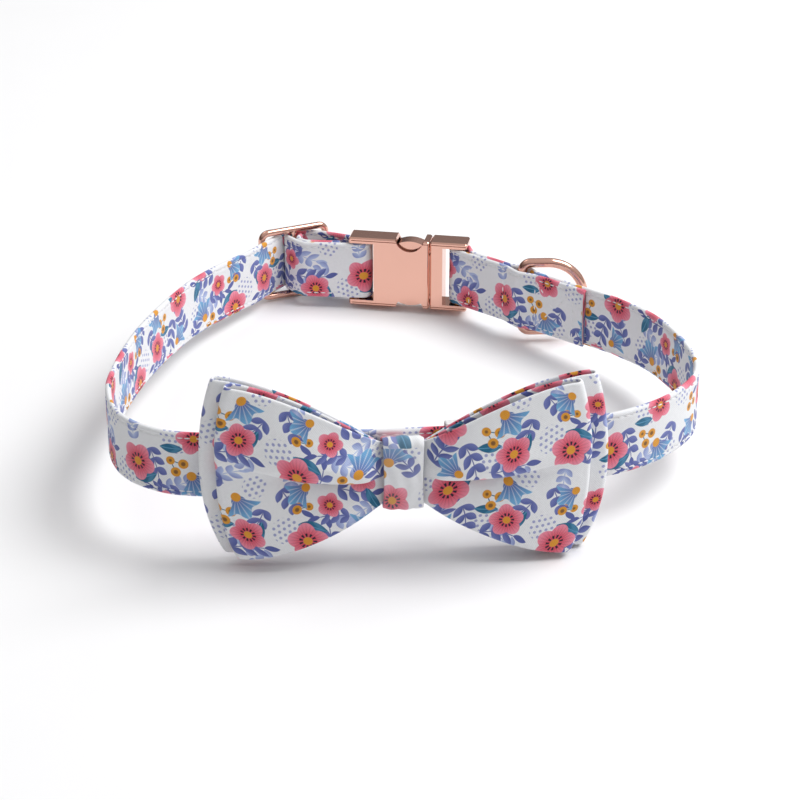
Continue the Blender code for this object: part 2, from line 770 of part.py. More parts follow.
def bow_rows():
    """Heights across the layer, closer together at the pleat."""
    rows = []
    for j in range(BOW_ROWS + 1):
        v = -1 + 2 * j / BOW_ROWS
        rows.append(v)
    rows += [PLEAT_EDGE * 0.55, -PLEAT_EDGE * 0.55]
    return sorted(rows)


def bow_ring(layer, index):
    """Rows of points round one bow layer: front panels, folds at the wing ends and back panels."""
    rows = bow_rows()
    edge = band_edge() / wing_reach(layer)
    wing = [("front", p, 0.0) for p in panel_shares(edge, BOW_PANEL_STEPS)]
    for k in range(1, BOW_FOLD_STEPS + 1):
        wing.append(("fold", 1.0, k / (BOW_FOLD_STEPS + 1)))
    wing += [("back", p, 1.0) for p in reversed(panel_shares(edge, BOW_PANEL_STEPS - 2))]
    grid = []
    for kind, p, t in wing:
        row = []
        for v in rows:
            row.append(ring_point(layer, index, kind, p, t, v))
        grid.append(row)
    mirrored = [[Vector((-q.x, q.y, q.z)) for q in row] for row in reversed(grid[1:-1])]
    return grid + mirrored


def ring_point(layer, index, kind, p, t, v):
    if p in (0.0, 1.0) or kind == "fold":
        line = v
    else:
        line = v + (PLEAT_AT_KNOT + (PLEAT_AT_END - PLEAT_AT_KNOT) * p) * (1 - v * v)
    if kind == "front":
        x, out, z = wing_point(layer, index, p, line, 1)
    elif kind == "back":
        x, out, z = wing_point(layer, index, p, line, 0)
    else:
        x, front, z = wing_point(layer, index, 1.0, line, 1)
        back = wing_point(layer, index, 1.0, line, 0)[1]
        angle = math.pi * t
        out = (front + back) / 2 + (front - back) / 2 * math.cos(angle)
        x += (front - back) / 2 * math.sin(angle)
    return Vector((x, -out, z))


def ring_normals(grid):
    """Normals in plan only, so that the cloth's thickness lies level."""
    normals = []
    count = len(grid)
    for i, row in enumerate(grid):
        before, after = grid[i - 1], grid[(i + 1) % count]
        found = []
        for j in range(len(row)):
            along = after[j] - before[j]
            flat = Vector((along.x, along.y, 0)).normalized()
            found.append(Vector((flat.y, -flat.x, 0)))
        normals.append(found)
    return normals


def bow_solid(layer, index, parent, finish):
    grid = bow_ring(layer, index)
    frame = bow_frame()
    place = (frame.origin.x, frame.origin.y, BOW_RAISE)
    return cloth_ring(layer.name, grid, ring_normals(grid), BOW_CLOTH, parent, finish, place, frame.turn)


def stack_depth():
    """From the strap's face to the front of the pinched layers at the knot."""
    return plain_front_level(len(BOW_LAYERS) - 1, band_edge()) + BOW_CLOTH / 2


def knot_solid(parent, finish):
    """A band round the pinched middle of both layers, its front softly crowned."""
    wall = BOW_CLOTH
    low = BOW_GAP + wall / 2
    high = stack_depth() + BOW_GAP + wall / 2
    half = KNOT_HEIGHT / 2 - wall / 2
    outline = rounded_loop((low, -half), (high, half), 1.1 * wall, 3)
    stations = (-1.0, -0.8, -0.35, 0.0, 0.35, 0.8, 1.0)
    grid = []
    normals = []
    count = len(outline)
    for i, point in enumerate(outline):
        along = outline[(i + 1) % count] - outline[i - 1]
        normal = Vector((0, -along.z, -along.x)).normalized()
        in_front = smooth_step((point.x - low) / (high - low))
        row = []
        for across in stations:
            crown = 0.5 * wall * in_front * (1 - across * across)
            row.append(Vector((across * KNOT_WIDTH / 2, -point.x - crown, point.z)))
        grid.append(row)
        normals.append([normal] * len(row))
    frame = bow_frame()
    place = (frame.origin.x, frame.origin.y, KNOT_RAISE)
    return cloth_ring("knot_band", grid, normals, wall, parent, finish, place, frame.turn)


def elastic_solid(name, side, parent, finish):
    """A flat elastic loop round the strap, behind a wing."""
    wall = ELASTIC_THICK
    low = -STRAP_THICK - BOW_GAP - wall / 2
    high = BOW_GAP + wall / 2
    half = STRAP_WIDTH / 2 + BOW_GAP + wall / 2
    outline = rounded_loop((low, -half), (high, half), 0.8 * wall, 2)
    count = len(outline)
    grid = []
    normals = []
    for i, point in enumerate(outline):
        along = outline[(i + 1) % count] - outline[i - 1]
        normal = Vector((0, -along.z, -along.x)).normalized()
        grid.append([Vector((across * ELASTIC_WIDTH / 2, -point.x, point.z)) for across in (-1, 1)])
        normals.append([normal, normal])
    frame = bow_frame()
    strap = strap_frame_near(frame.at(side * ELASTIC_FROM_MIDDLE))
    place = strap.at(0, -STRAP_THICK / 2)
    return cloth_ring(name, grid, normals, wall, parent, finish, (place.x, place.y, 0), strap.turn)


def strap_frame_near(target):
    """Frame of the strap's middle line at its point nearest to a place in the plan."""
    points = loop_curve()
    nearest = min(range(1, len(points) - 1), key=lambda i: (points[i] - target).length)
    along = points[nearest + 1] - points[nearest - 1]
    return PlanFrame(*points[nearest], math.atan2(along.y, along.x))


def standing_tilt():
    """Tilt that brings the bow's lower corners and the buckle's lower outer edge to one level."""
    frame = bow_frame()
    layer = BOW_LAYERS[0]
    bow_low = BOW_RAISE - layer.half_height * BOW_HEIGHT
    bow_out = frame.at(0, -layer_back_level(0) - BOW_BACK_SET).y
    buckle = seat_frame(BUCKLE_SEAT)
    buckle_out = buckle.at(-BUCKLE_LENGTH / 2, BUCKLE_THICK / 2).y
    return math.atan2(-buckle_half_height() - bow_low, buckle_out - bow_out)


def lowest_and_middle(objects):
    """World middle in plan and lowest level of the solids."""
    bpy.context.view_layer.update()
    graph = bpy.context.evaluated_depsgraph_get()
    corners = []
    for obj in objects:
        seen = obj.evaluated_get(graph)
        mesh = seen.to_mesh()
        corners += [seen.matrix_world @ vertex.co for vertex in mesh.vertices]
        seen.to_mesh_clear()
    xs = [c.x for c in corners]
    ys = [c.y for c in corners]
    return Vector(((min(xs) + max(xs)) / 2, (min(ys) + max(ys)) / 2, min(c.z for c in corners)))


def main():
    clear_scene()
    rose_gold = material("rose_gold", (0.76, 0.42, 0.33), 0.18, 1.0)
    print_cloth = material("print_cloth", (0.78, 0.79, 0.83), 0.85, 0.0)
    knot_cloth = material("knot_cloth", (0.72, 0.74, 0.80), 0.85, 0.0)
    elastic = material("elastic", (0.85, 0.85, 0.84), 0.9, 0.0)
    stand = empty("stand")
    loop = empty("loop", stand)
    loop.rotation_euler.x = -standing_tilt()
    buckle_at = seat_frame(BUCKLE_SEAT)
    buckle = empty("buckle", loop, (*buckle_at.origin, 0), buckle_at.turn)
    slider_at = seat_frame(SLIDER_SEAT)
    slider_seat = empty("slider_seat", loop, (*slider_at.origin, 0), slider_at.turn)
    solids = [
        strap_solid(loop, print_cloth),
        socket_solid(buckle, rose_gold),
        plug_solid(buckle, rose_gold),
        lever_solid("release_lever_upper", 1, buckle, rose_gold),
        lever_solid("release_lever_lower", -1, buckle, rose_gold),
        slider_solid(slider_seat, rose_gold),
        ring_solid(loop, rose_gold),
    ]
    for index, layer in enumerate(BOW_LAYERS):
        solids.append(bow_solid(layer, index, loop, print_cloth))
    solids.append(knot_solid(loop, knot_cloth))
    solids.append(elastic_solid("elastic_loop_left", -1, loop, elastic))
    solids.append(elastic_solid("elastic_loop_right", 1, loop, elastic))
    stand.location = -lowest_and_middle(solids)
    bpy.context.view_layer.update()


main()
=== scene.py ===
"""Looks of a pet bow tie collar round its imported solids: a strap and a two-layer bow in printed cotton,
and a polished rose-gold buckle, slider and D-ring, standing on a pale floor in soft studio light.

The strap and the bow are modelled in the loop's own frame, with the strap's middle height at z = 0, and
are then laid on the solids. Lengths are metres. In plan, u runs along the strap and n points out of the loop.
"""

import json
import math
from collections import namedtuple

import bmesh
import bpy
from mathutils import Matrix, Vector, noise


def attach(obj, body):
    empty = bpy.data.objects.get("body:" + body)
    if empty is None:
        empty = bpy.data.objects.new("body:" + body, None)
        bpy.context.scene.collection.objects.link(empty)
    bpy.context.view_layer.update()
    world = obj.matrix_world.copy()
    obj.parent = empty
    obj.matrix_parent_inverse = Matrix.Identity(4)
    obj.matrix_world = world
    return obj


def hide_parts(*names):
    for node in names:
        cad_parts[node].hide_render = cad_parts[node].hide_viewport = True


bl_info = {
    "name": "Pet Bow Tie Collar",
    "version": (1, 0, 0),
    "blender": (4, 5, 0),
    "location": "3D View > Sidebar > Collar",
    "description": "Dresses a pet collar with its strap, buckle, rings and bow tie, and sets it in a studio",
    "category": "Add Mesh",
}

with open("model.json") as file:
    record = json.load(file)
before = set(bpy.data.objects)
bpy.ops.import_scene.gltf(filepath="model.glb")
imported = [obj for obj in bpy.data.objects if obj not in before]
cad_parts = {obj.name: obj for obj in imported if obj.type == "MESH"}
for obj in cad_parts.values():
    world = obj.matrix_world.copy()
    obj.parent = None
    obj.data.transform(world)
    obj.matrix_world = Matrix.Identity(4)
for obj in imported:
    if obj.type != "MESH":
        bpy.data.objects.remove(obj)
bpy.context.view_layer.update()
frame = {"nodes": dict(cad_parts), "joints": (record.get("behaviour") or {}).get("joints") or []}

MM = 0.001
MAIN_BODY = "collar"
RING_BODY = "d_ring"
RING_JOINT = "d_ring_swing"

# Where the strap's middle line runs from the slider round the front to the D-ring, as shares of the
# loop's width and depth
PlanPoint = namedtuple("PlanPoint", "place across back")
PLAN = (
    PlanPoint("far left shoulder", -0.370, 0.527),
    PlanPoint("upper left side", -0.423, 0.385),
    PlanPoint("left side", -0.463, 0.225),
    PlanPoint("lower left side", -0.485, 0.065),
    PlanPoint("left turn", -0.486, -0.055),
    PlanPoint("left turn end", -0.460, -0.155),
    PlanPoint("left cheek", -0.408, -0.218),
    PlanPoint("left of the bow", -0.330, -0.248),
    PlanPoint("behind the left wing", -0.165, -0.243),
    PlanPoint("behind the knot", 0.000, -0.230),
    PlanPoint("behind the right wing", 0.165, -0.207),
    PlanPoint("right of the bow", 0.318, -0.176),
    PlanPoint("right cheek", 0.415, -0.115),
    PlanPoint("right turn", 0.485, -0.020),
    PlanPoint("right turn end", 0.507, 0.075),
    PlanPoint("right side", 0.488, 0.205),
    PlanPoint("far right side", 0.450, 0.310),
    PlanPoint("far right shoulder", 0.395, 0.392),
)
LOOP_WIDTH = 175.0 * MM
LOOP_DEPTH = 155.0 * MM
Seat = namedtuple("Seat", "across back turn_deg")
BUCKLE_SEAT = Seat(0.018, 0.702, -10.0)
SLIDER_SEAT = Seat(-0.209, 0.761, 26.0)
DOUBLED_RUN_TURN = math.radians(-42)

# Where the strap leaves the slider, and where its plies bend beside it, from the slider's middle
SLIDER_LEAD = 5.6 * MM
SLIDER_LEAD_IN = 7.5 * MM
PLY_BEND_ALONG = 1.1 * MM
PLY_BEND_IN = 9.0 * MM
PLY_BEND_RADIUS = 6.0 * MM

# Buckle, slider and D-ring, where the strap meets them
BUCKLE_LENGTH = 40.6 * MM
SOCKET_BAR_INSET = 3.9 * MM
PLUG_BAR_INSET = 2.7 * MM
BUCKLE_BAR_RADIUS = 1.8 * MM
RING_PLAY = 0.4 * MM

# How the slider's and the D-ring's wires are made: when two places are one, below which share of the
# height a corner is a small one, how finely small and wide corners are cut, how round the wire is, how
# thin the slider's bar is beside its wire, and how nearly half round the D-ring's far side is
SAME_PLACE = 1e-7
MERGE_DISTANCE = 0.01 * MM
SMALL_CORNER = 0.3
CORNER_SEGMENTS = 8
ARC_SEGMENTS = 22
WIRE_FINENESS = 5
BAR_SHARE = 0.98
HALF_ROUND = 0.999

# Folded ends of the strap and their stitch lines, measured along the doubled strap
PLY_GAP = 0.3 * MM
BAR_CLEARANCE = 0.3 * MM
FIRST_STITCH = 7.0 * MM
RING_FROM_BAR = 28.5 * MM
RING_STITCH_SPAN = 6.8 * MM
TAIL_FROM_BAR = 55.0 * MM
TAIL_STITCH = 4.0 * MM
SHORT_TAIL = 7.5 * MM
PINCH_RADIUS = 3.0 * MM

# Fineness of the strap's line, and the widest turn that it makes round one bar
STRAP_STEP = 1.2 * MM
ARC_STEP = math.radians(9)
WIDEST_SWEEP = 1.6 * math.pi

# The strap's face: heights from its middle out, then about the seam, and the seam's dip
FACE_SHARES = (0.0, 0.3, 0.6, 0.82)
SEAM_OFFSETS = (-0.75 * MM, -0.45 * MM, -0.2 * MM, 0.0, 0.2 * MM, 0.45 * MM)
SEAM_DIP = 0.30
SEAM_DIP_SPAN = 0.28 * MM
FACE_SWELL = 1.06
STRAP_RIPPLE = 0.12 * MM
STITCH_OUT = 0.42

# The bow's two layers: lengths are shares of the bow's length, height and depth
BowLayer = namedtuple("BowLayer", "name node half_length half_height bulge pull_top pull_low pleat")
BOW_LAYERS = (
    BowLayer("bow_tie_back", "bow_back", 0.500, 0.500, 0.22, 0.038, 0.056, 0.0),
    BowLayer("bow_tie_front", "bow_front", 0.462, 0.492, 0.45, 0.032, 0.050, 1.0),
)
BOW_BACK_SET = 0.6 * MM
BOW_GAP = 0.3 * MM
FOLD_SHARE = 0.95
EDGE_FALL = 0.35
PLEAT_AT_KNOT = 0.13
PLEAT_AT_END = 0.10
WING_FLARE = 1.55
CORNER_PULL_POWER = 2.2
SWELL_START = 0.06
SWELL_POWER = 0.8

# Half heights at the knot of the four panels, from the hindmost to the foremost
PINCHED = ((6.0 * MM, 7.0 * MM), (7.6 * MM, 9.3 * MM))
# How each wing, left or right, differs from the plain shape: the trim of its two layers, and its lift
WING_TRIM = {-1: (-1.0 * MM, -1.2 * MM), 1: (1.0 * MM, -0.2 * MM)}
WING_LIFT = {-1: 1.9 * MM, 1: 0.2 * MM}

# The front layer's pleat: its half height as a share, where it opens, its step and how far that spreads
FOLD_HALF_SHARE = 0.15
PLEAT_OPENING = 5.0 * MM
PLEAT_ROOM = 12.0 * MM
PLEAT_FADE = 0.85
PLEAT_FADE_FROM = 0.35
PLEAT_IN_FRONT = 0.58
PLEAT_BEHIND = 0.42
SPREAD_ABOVE = 0.50
SPREAD_BELOW = 0.26

# Creases that leave the knot, how soon they end, and the cloth's soft unevenness
CREASE = 0.42 * MM
CREASE_END = 3.4
UNEVENNESS = 0.55 * MM

# Rows of a bow layer below, in and above the pleat, and steps along its front, its fold and its back
ROWS_BELOW = 15
ROWS_IN_FOLD = 14
ROWS_ABOVE = 15
ROW_COUNT = ROWS_BELOW + ROWS_IN_FOLD + ROWS_ABOVE + 1
FRONT_STEPS = 30
FOLD_STEPS = 8
BACK_STEPS = 18

# The knot: how far it stands proud, how much lower its back is, and its small forms
KNOT_PROUD = 1.4 * MM
KNOT_BACK_LOWER = 3.3 * MM
KNOT_CROWN = 0.55 * MM
KNOT_CREASE = 0.16 * MM
KNOT_WAIST = 0.05
KNOT_FADE = 0.10

# Printed cotton: its weave in radians to the millimetre, and the scales of its slubs and wrinkles
WEAVE = 9.5
SLUB_SCALE = 1.4
WRINKLE_SCALE = 0.22

# Studio: the floor, the film's width, where the lights aim, the sky from the horizon up, and the lights
FLOOR_SIZE = 6.0
FILM_MM = 36.0
NEAREST_VIEW = 0.01
LIGHT_AIM = Vector((0, 0, 0.02))
SKY_STOPS = (
    (0.0, (0.16, 0.15, 0.15)),
    (0.22, (0.34, 0.33, 0.33)),
    (0.55, (0.86, 0.86, 0.87)),
    (1.0, (1.0, 1.0, 1.0)),
)
Softbox = namedtuple("Softbox", "name place size power")
SOFTBOXES = (
    Softbox("key_softbox", (0.75, 0.15, 1.10), 0.8, 15.5),
    Softbox("back_softbox", (-0.50, 0.60, 1.00), 0.55, 1.0),
)

Pulley = namedtuple("Pulley", "centre radius side")


def metres(name, text, value):
    return bpy.props.FloatProperty(name=name, description=text, default=value, unit="LENGTH")


def number(name, text, value):
    return bpy.props.FloatProperty(name=name, description=text, default=value)


def tint(name, text, *value):
    return bpy.props.FloatVectorProperty(name=name, description=text, default=value, subtype="COLOR")


class StrapSettings(bpy.types.PropertyGroup):
    width: metres("Width", "Width of the strap", 0.020)
    thickness: metres("Thickness", "Thickness of the sewn strap", 0.0016)
    stitch_inset: metres("Stitch inset", "From the strap's edge to its stitch line", 0.0017)
    stitch_length: metres("Stitch length", "Length of one stitch that shows", 0.0019)
    stitch_pitch: metres("Stitch pitch", "From one stitch to the next", 0.0026)
    thread: metres("Thread", "Width of the sewing thread", 0.00042)


class HardwareSettings(bpy.types.PropertyGroup):
    colour: tint("Metal", "Colour of the rose-gold plating", 0.72, 0.41, 0.325)
    slider_length: metres("Slider length", "Slider along the strap, outside to outside", 0.026)
    slider_wire: metres("Slider wire", "Thickness of the slider's wire", 0.0024)
    slider_corner: metres("Slider corner", "Radius of the slider's corners at the wire's middle", 0.0024)
    slider_play: metres("Slider play", "Room at each edge of the strap", 0.0004)
    ring_wire: metres("Ring wire", "Thickness of the D-ring's wire", 0.0032)
    ring_reach: metres("Ring reach", "From the D-ring's bar to its far side", 0.022)
    ring_corner: metres("Ring corner", "Radius of the corners beside the D-ring's bar", 0.0026)
    ring_lean_deg: number("Ring lean", "How far the D-ring leans from square to the strap", 46.0)


class BowSettings(bpy.types.PropertyGroup):
    length: metres("Length", "Tip to tip over the back layer", 0.1138)
    height: metres("Height", "Height of the back layer's wing ends", 0.0536)
    depth: metres("Depth", "Size of the wings' bulge", 0.0056)
    cloth: metres("Cloth", "Thickness of the bow's cloth", 0.001)
    turn_deg: number("Turn", "Turn of the bow in plan, its right end away from the viewer", 4.5)
    rise: metres("Raise", "Bow's middle above the strap's middle", 0.0008)
    pleat_overlap: metres("Pleat overlap", "How far the upper half laps over the lower", 0.0036)
    pleat_depth: metres("Pleat depth", "Step of the cloth at the pleat", 0.0072)
    knot_width: metres("Knot width", "Width of the band round the bow's middle", 0.0115)
    knot_height: metres("Knot height", "Height of that band", 0.0216)
    knot_raise: metres("Knot raise", "Knot's middle above the strap's middle", 0.0014)
    elastic_width: metres("Elastic width", "Width of the two elastic loops", 0.008)
    elastic_thickness: metres("Elastic thickness", "Thickness of the elastic", 0.001)
    elastic_from_middle: metres("Elastic place", "From the knot to each elastic loop", 0.017)


class PrintSettings(bpy.types.PropertyGroup):
    repeat_width: metres("Repeat width", "Width of the printed repeat", 0.034)
    repeat_height: metres("Repeat height", "Its height, half of it dropped in the next column", 0.030)
    ground: tint("Ground", "Unprinted cotton", 0.80, 0.81, 0.83)
    petal: tint("Petals", "Blossom petals", 0.72, 0.085, 0.135)
    petal_pale: tint("Petal rims", "Pale rims of the petals", 0.86, 0.34, 0.45)
    leaf: tint("Leaves", "Periwinkle leaves", 0.10, 0.125, 0.36)
    leaf_pale: tint("Pale leaves", "Pale periwinkle leaves", 0.20, 0.235, 0.52)
    sprig_pale: tint("Pale sprigs", "Sprigs that stand back in the print", 0.42, 0.50, 0.74)
    bell: tint("Bells", "Light-blue bell flowers", 0.17, 0.44, 0.70)
    teal: tint("Teal", "Teal leaves", 0.022, 0.14, 0.25)
    berry: tint("Berries", "Mustard berries and flower hearts", 0.70, 0.31, 0.035)
    ink: tint("Ink", "Dark accents", 0.012, 0.014, 0.03)


class StudioSettings(bpy.types.PropertyGroup):
    camera_distance: metres("Camera distance", "From the loop's middle to the camera", 0.6516)
    camera_rise_deg: number("Camera rise", "Camera above the plane of the loop", 25.0)
    camera_aim: metres("Camera aim", "Aim above the strap's middle height", 0.002)
    lens_mm: number("Lens", "Focal length on 36 mm", 99.0)
    floor: tint("Floor", "Colour of the floor", 0.90, 0.90, 0.905)
    sky: number("Sky", "Strength of the light from above", 0.66)
    sky_lean: number("Sky lean", "How much brighter the sky is to the right", 0.35)


class CollarSettings(bpy.types.PropertyGroup):
    strap: bpy.props.PointerProperty(type=StrapSettings)
    hardware: bpy.props.PointerProperty(type=HardwareSettings)
    bow: bpy.props.PointerProperty(type=BowSettings)
    pattern: bpy.props.PointerProperty(type=PrintSettings)
    studio: bpy.props.PointerProperty(type=StudioSettings)


def settings():
    return bpy.context.scene.collar


# The strap's way through the hardware

class PlanFrame:
    """A place in the plan with its own directions along the strap (u) and out of the loop (n)."""

    def __init__(self, x, y, turn):
        self.origin = Vector((x, y))
        self.turn = turn
        self.u = Vector((math.cos(turn), math.sin(turn)))
        self.n = Vector((-math.sin(turn), math.cos(turn)))

    def at(self, u, n=0.0):
        return self.origin + self.u * u + self.n * n


def seat_frame(seat):
    return PlanFrame(seat.across * LOOP_WIDTH, seat.back * LOOP_DEPTH, math.radians(seat.turn_deg))


def spline_point(a, b, c, d, t):
    return 0.5 * (2 * b + (c - a) * t + (2 * a - 5 * b + 4 * c - d) * t * t + (3 * b - a - 3 * c + d) * t**3)


def loop_curve(step):
    """The strap's middle line through PLAN, as a smooth curve with even steps."""
    half_slider = settings().hardware.slider_length / 2
    knots = [seat_frame(SLIDER_SEAT).at(-half_slider - SLIDER_LEAD, -SLIDER_LEAD_IN)]
    knots += [Vector((p.across * LOOP_WIDTH, p.back * LOOP_DEPTH)) for p in PLAN]
    padded = [knots[0] * 2 - knots[1], *knots, knots[-1] * 2 - knots[-2]]
    points = []
    for i in range(1, len(padded) - 2):
        a, b, c, d = padded[i - 1 : i + 3]
        steps = max(2, math.ceil((c - b).length / step))
        for k in range(steps):
            points.append(spline_point(a, b, c, d, k / steps))
    points.append(knots[-1])
    return points


def tangent_heading(first, second):
    """Heading of the straight run that leaves one pulley and meets the next."""
    gap = second.centre - first.centre
    shift = second.side * second.radius - first.side * first.radius
    return math.atan2(gap.y, gap.x) - math.asin(max(-1.0, min(1.0, shift / gap.length)))


def on_pulley(pulley, heading):
    left = Vector((-math.sin(heading), math.cos(heading)))
    return pulley.centre - left * (pulley.side * pulley.radius)


def belt(pulleys):
    """Points of a belt that runs round each pulley in turn. A pulley of no radius is a plain point."""
    headings = [tangent_heading(a, b) for a, b in zip(pulleys, pulleys[1:])]
    points = [pulleys[0].centre]
    for i in range(1, len(pulleys) - 1):
        pulley = pulleys[i]
        if pulley.radius == 0:
            points.append(pulley.centre)
            continue
        start = headings[i - 1]
        sweep = (headings[i] - start) % (2 * math.pi)
        if pulley.side < 0:
            sweep -= 2 * math.pi
        if abs(sweep) > WIDEST_SWEEP:
            sweep = 0.0
        steps = max(1, math.ceil(abs(sweep) / ARC_STEP))
        for k in range(steps + 1):
            points.append(on_pulley(pulley, start + sweep * k / steps))
    points.append(pulleys[-1].centre)
    return points


def spaced(points, step):
    """The same path with its straight runs divided, and points that nearly meet left out."""
    kept = [points[0]]
    for point in points[1:]:
        run = (point - kept[-1]).length
        if run < step / 8:
            continue
        start = kept[-1]
        parts = max(1, math.ceil(run / step))
        for k in range(1, parts + 1):
            kept.append(start.lerp(point, k / parts))
    return kept


def bend_through(point, radius, side, out, towards):
    """A pulley that touches a point, with its middle on the outer (+1) or inner (-1) side."""
    return Pulley(point + out * (radius * towards), radius, side)


def plug_bar():
    return seat_frame(BUCKLE_SEAT).at(BUCKLE_LENGTH / 2 - PLUG_BAR_INSET)


def socket_bar():
    return seat_frame(BUCKLE_SEAT).at(-BUCKLE_LENGTH / 2 + SOCKET_BAR_INSET)


def doubled_run():
    """Frame of the doubled strap that leaves the plug: u runs from the plug's bar to the tail."""
    bar = plug_bar()
    frame_at_bar = PlanFrame(bar.x, bar.y, DOUBLED_RUN_TURN)
    return PlanFrame(*frame_at_bar.at(0, -BUCKLE_BAR_RADIUS), DOUBLED_RUN_TURN)


def ring_bar():
    return doubled_run().at(RING_FROM_BAR)


def wrap_radius(bar_radius, plies_inside=0):
    thick = settings().strap.thickness
    return bar_radius + BAR_CLEARANCE + plies_inside * (thick + PLY_GAP) + thick / 2


def strap_route():
    """The strap as one belt: from the tail sewn at the slider, round every bar, to the D-ring's tail."""
    hardware = settings().hardware
    pitch = settings().strap.thickness + PLY_GAP
    slider = seat_frame(SLIDER_SEAT)
    bar_reach = (hardware.slider_length - hardware.slider_wire) / 2
    rim = wrap_radius(hardware.slider_wire / 2)
    out = seat_frame(BUCKLE_SEAT).n
    bend = bend_through(slider.at(PLY_BEND_ALONG, -PLY_BEND_IN), PLY_BEND_RADIUS, 1, out, 1)
    end_bar = Pulley(socket_bar(), wrap_radius(BUCKLE_BAR_RADIUS), 1)
    heading = tangent_heading(bend, end_bar)
    along = Vector((math.cos(heading), math.sin(heading)))
    left = Vector((-along.y, along.x))
    short_tail = on_pulley(end_bar, heading) - along * SHORT_TAIL + left * pitch
    route = [
        Pulley(short_tail, 0.0, 1),
        Pulley(bend.centre, bend.radius - pitch, -1),
        Pulley(slider.at(0), rim, 1),
        bend,
        end_bar,
        Pulley(slider.at(bar_reach), rim, -1),
        Pulley(slider.at(0), wrap_radius(hardware.slider_wire / 2, 1), 1),
        Pulley(slider.at(-bar_reach), rim, -1),
    ]
    route += [Pulley(point, 0.0, 1) for point in loop_curve(STRAP_STEP)]
    run = doubled_run()
    ring_wrap = Pulley(ring_bar(), wrap_radius(hardware.ring_wire / 2), 1)
    places = (RING_FROM_BAR + RING_STITCH_SPAN, RING_FROM_BAR - RING_STITCH_SPAN, FIRST_STITCH)
    outer = [bend_through(run.at(u, pitch / 2), PINCH_RADIUS, -1, run.n, 1) for u in places]
    inner = [bend_through(run.at(u, -pitch / 2), PINCH_RADIUS, -1, run.n, -1) for u in reversed(places)]
    route += [Pulley(run.at(TAIL_FROM_BAR, pitch / 2), 0.0, 1), outer[0], ring_wrap, outer[1], outer[2]]
    route += [Pulley(plug_bar(), wrap_radius(BUCKLE_BAR_RADIUS), 1)]
    route += [inner[0], inner[1], ring_wrap, inner[2], Pulley(run.at(TAIL_FROM_BAR, -pitch / 2), 0.0, 1)]
    return spaced(belt(route), STRAP_STEP)


def path_frames(points):
    """Unit normals to the left of travel and the distance run at each point."""
    normals = []
    runs = [0.0]
    last = len(points) - 1
    for i, point in enumerate(points):
        before = point - points[max(i - 1, 0)]
        after = points[min(i + 1, last)] - point
        if i > 0:
            runs.append(runs[-1] + before.length)
        along = (before.normalized() + after.normalized()).normalized()
        normals.append(Vector((-along.y, along.x)))
    return normals, runs


def runs_round(points):
    """The distance run at each point of a closed outline, and its whole length at the end."""
    runs = [0.0]
    for i, point in enumerate(points):
        runs.append(runs[-1] + (points[(i + 1) % len(points)] - point).length)
    return runs


def strap_frame_near(target):
    """Frame of the strap's middle line at its point nearest to a place in the plan."""
    points = loop_curve(1.0 * MM)
    nearest = min(range(1, len(points) - 1), key=lambda i: (points[i] - target).length)
    along = points[nearest + 1] - points[nearest - 1]
    return PlanFrame(*points[nearest], math.atan2(along.y, along.x))


def loop_matrix():
    """Place of the loop in the part. The D-ring turns about the loop's own upright axis, at its bar."""
    joint = next(j for j in frame["joints"] if j["name"] == RING_JOINT)
    up = Vector(joint["axis"]).normalized()
    right = Vector((1, 0, 0))
    turn = Matrix((right, up.cross(right), up)).transposed()
    bar = ring_bar()
    origin = Vector(joint["pos_m"]) - turn @ Vector((bar.x, bar.y, 0))
    return Matrix.Translation(origin) @ turn.to_4x4()


def plan_matrix(place):
    """Place of a plan frame in the part."""
    return loop_matrix() @ Matrix.Translation((*place.origin, 0)) @ Matrix.Rotation(place.turn, 4, "Z")


# Meshes

def deselect():
    if bpy.context.mode != "OBJECT":
        bpy.ops.object.mode_set(mode="OBJECT")
    bpy.ops.object.select_all(action="DESELECT")


def take(obj):
    """Makes an object the only one selected, and the active one."""
    deselect()
    obj.select_set(True)
    bpy.context.view_layer.objects.active = obj
    return obj


def add_object(name, data):
    obj = bpy.data.objects.new(name, data)
    bpy.context.scene.collection.objects.link(obj)
    return obj


def lattice(name, count_u, count_v, point, uv, around=False, across=False, caps=False):
    """A grid of points as a smooth mesh, closed round either count, whose corners carry uv lengths."""
    bm = bmesh.new()
    layer = bm.loops.layers.uv.new("cloth")
    grid = [[bm.verts.new(point(i, j)) for j in range(count_v)] for i in range(count_u)]
    rows = count_u if around else count_u - 1
    columns = count_v if across else count_v - 1
    for i in range(rows):
        for j in range(columns):
            corners = ((i, j), (i + 1, j), (i + 1, j + 1), (i, j + 1))
            face = bm.faces.new([grid[a % count_u][b % count_v] for a, b in corners])
            for loop, (a, b) in zip(face.loops, corners):
                loop[layer].uv = uv(a, b)
    if caps:
        for i in (0, count_u - 1):
            face = bm.faces.new(grid[i])
            for j, loop in enumerate(face.loops):
                loop[layer].uv = uv(i, j)
    bmesh.ops.recalc_face_normals(bm, faces=bm.faces)
    mesh = bpy.data.meshes.new(name)
    bm.to_mesh(mesh)
    bm.free()
    mesh.shade_smooth()
    return add_object(name, mesh)


def apply_modifier(obj, kind, **values):
    take(obj)
    modifier = obj.modifiers.new(kind.lower(), kind)
    for key, value in values.items():
        setattr(modifier, key, value)
    bpy.ops.object.modifier_apply(modifier=modifier.name)


def thicken(obj, thickness):
    """Gives a surface its cloth's thickness, half to each side, and rounds it."""
    apply_modifier(obj, "SOLIDIFY", thickness=thickness, offset=0.0, use_rim=True)
    apply_modifier(obj, "SUBSURF", levels=1, render_levels=1)


def lay_in_part(obj, matrix):
    """Moves a piece's mesh from the frame that it was made in to its place in the part."""
    obj.data.transform(matrix)
    obj.data.update()


def finish_piece(obj, body, material, nodes=()):
    obj.data.materials.clear()
    obj.data.materials.append(material)
    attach(obj, body)
    if nodes:
        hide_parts(*nodes)


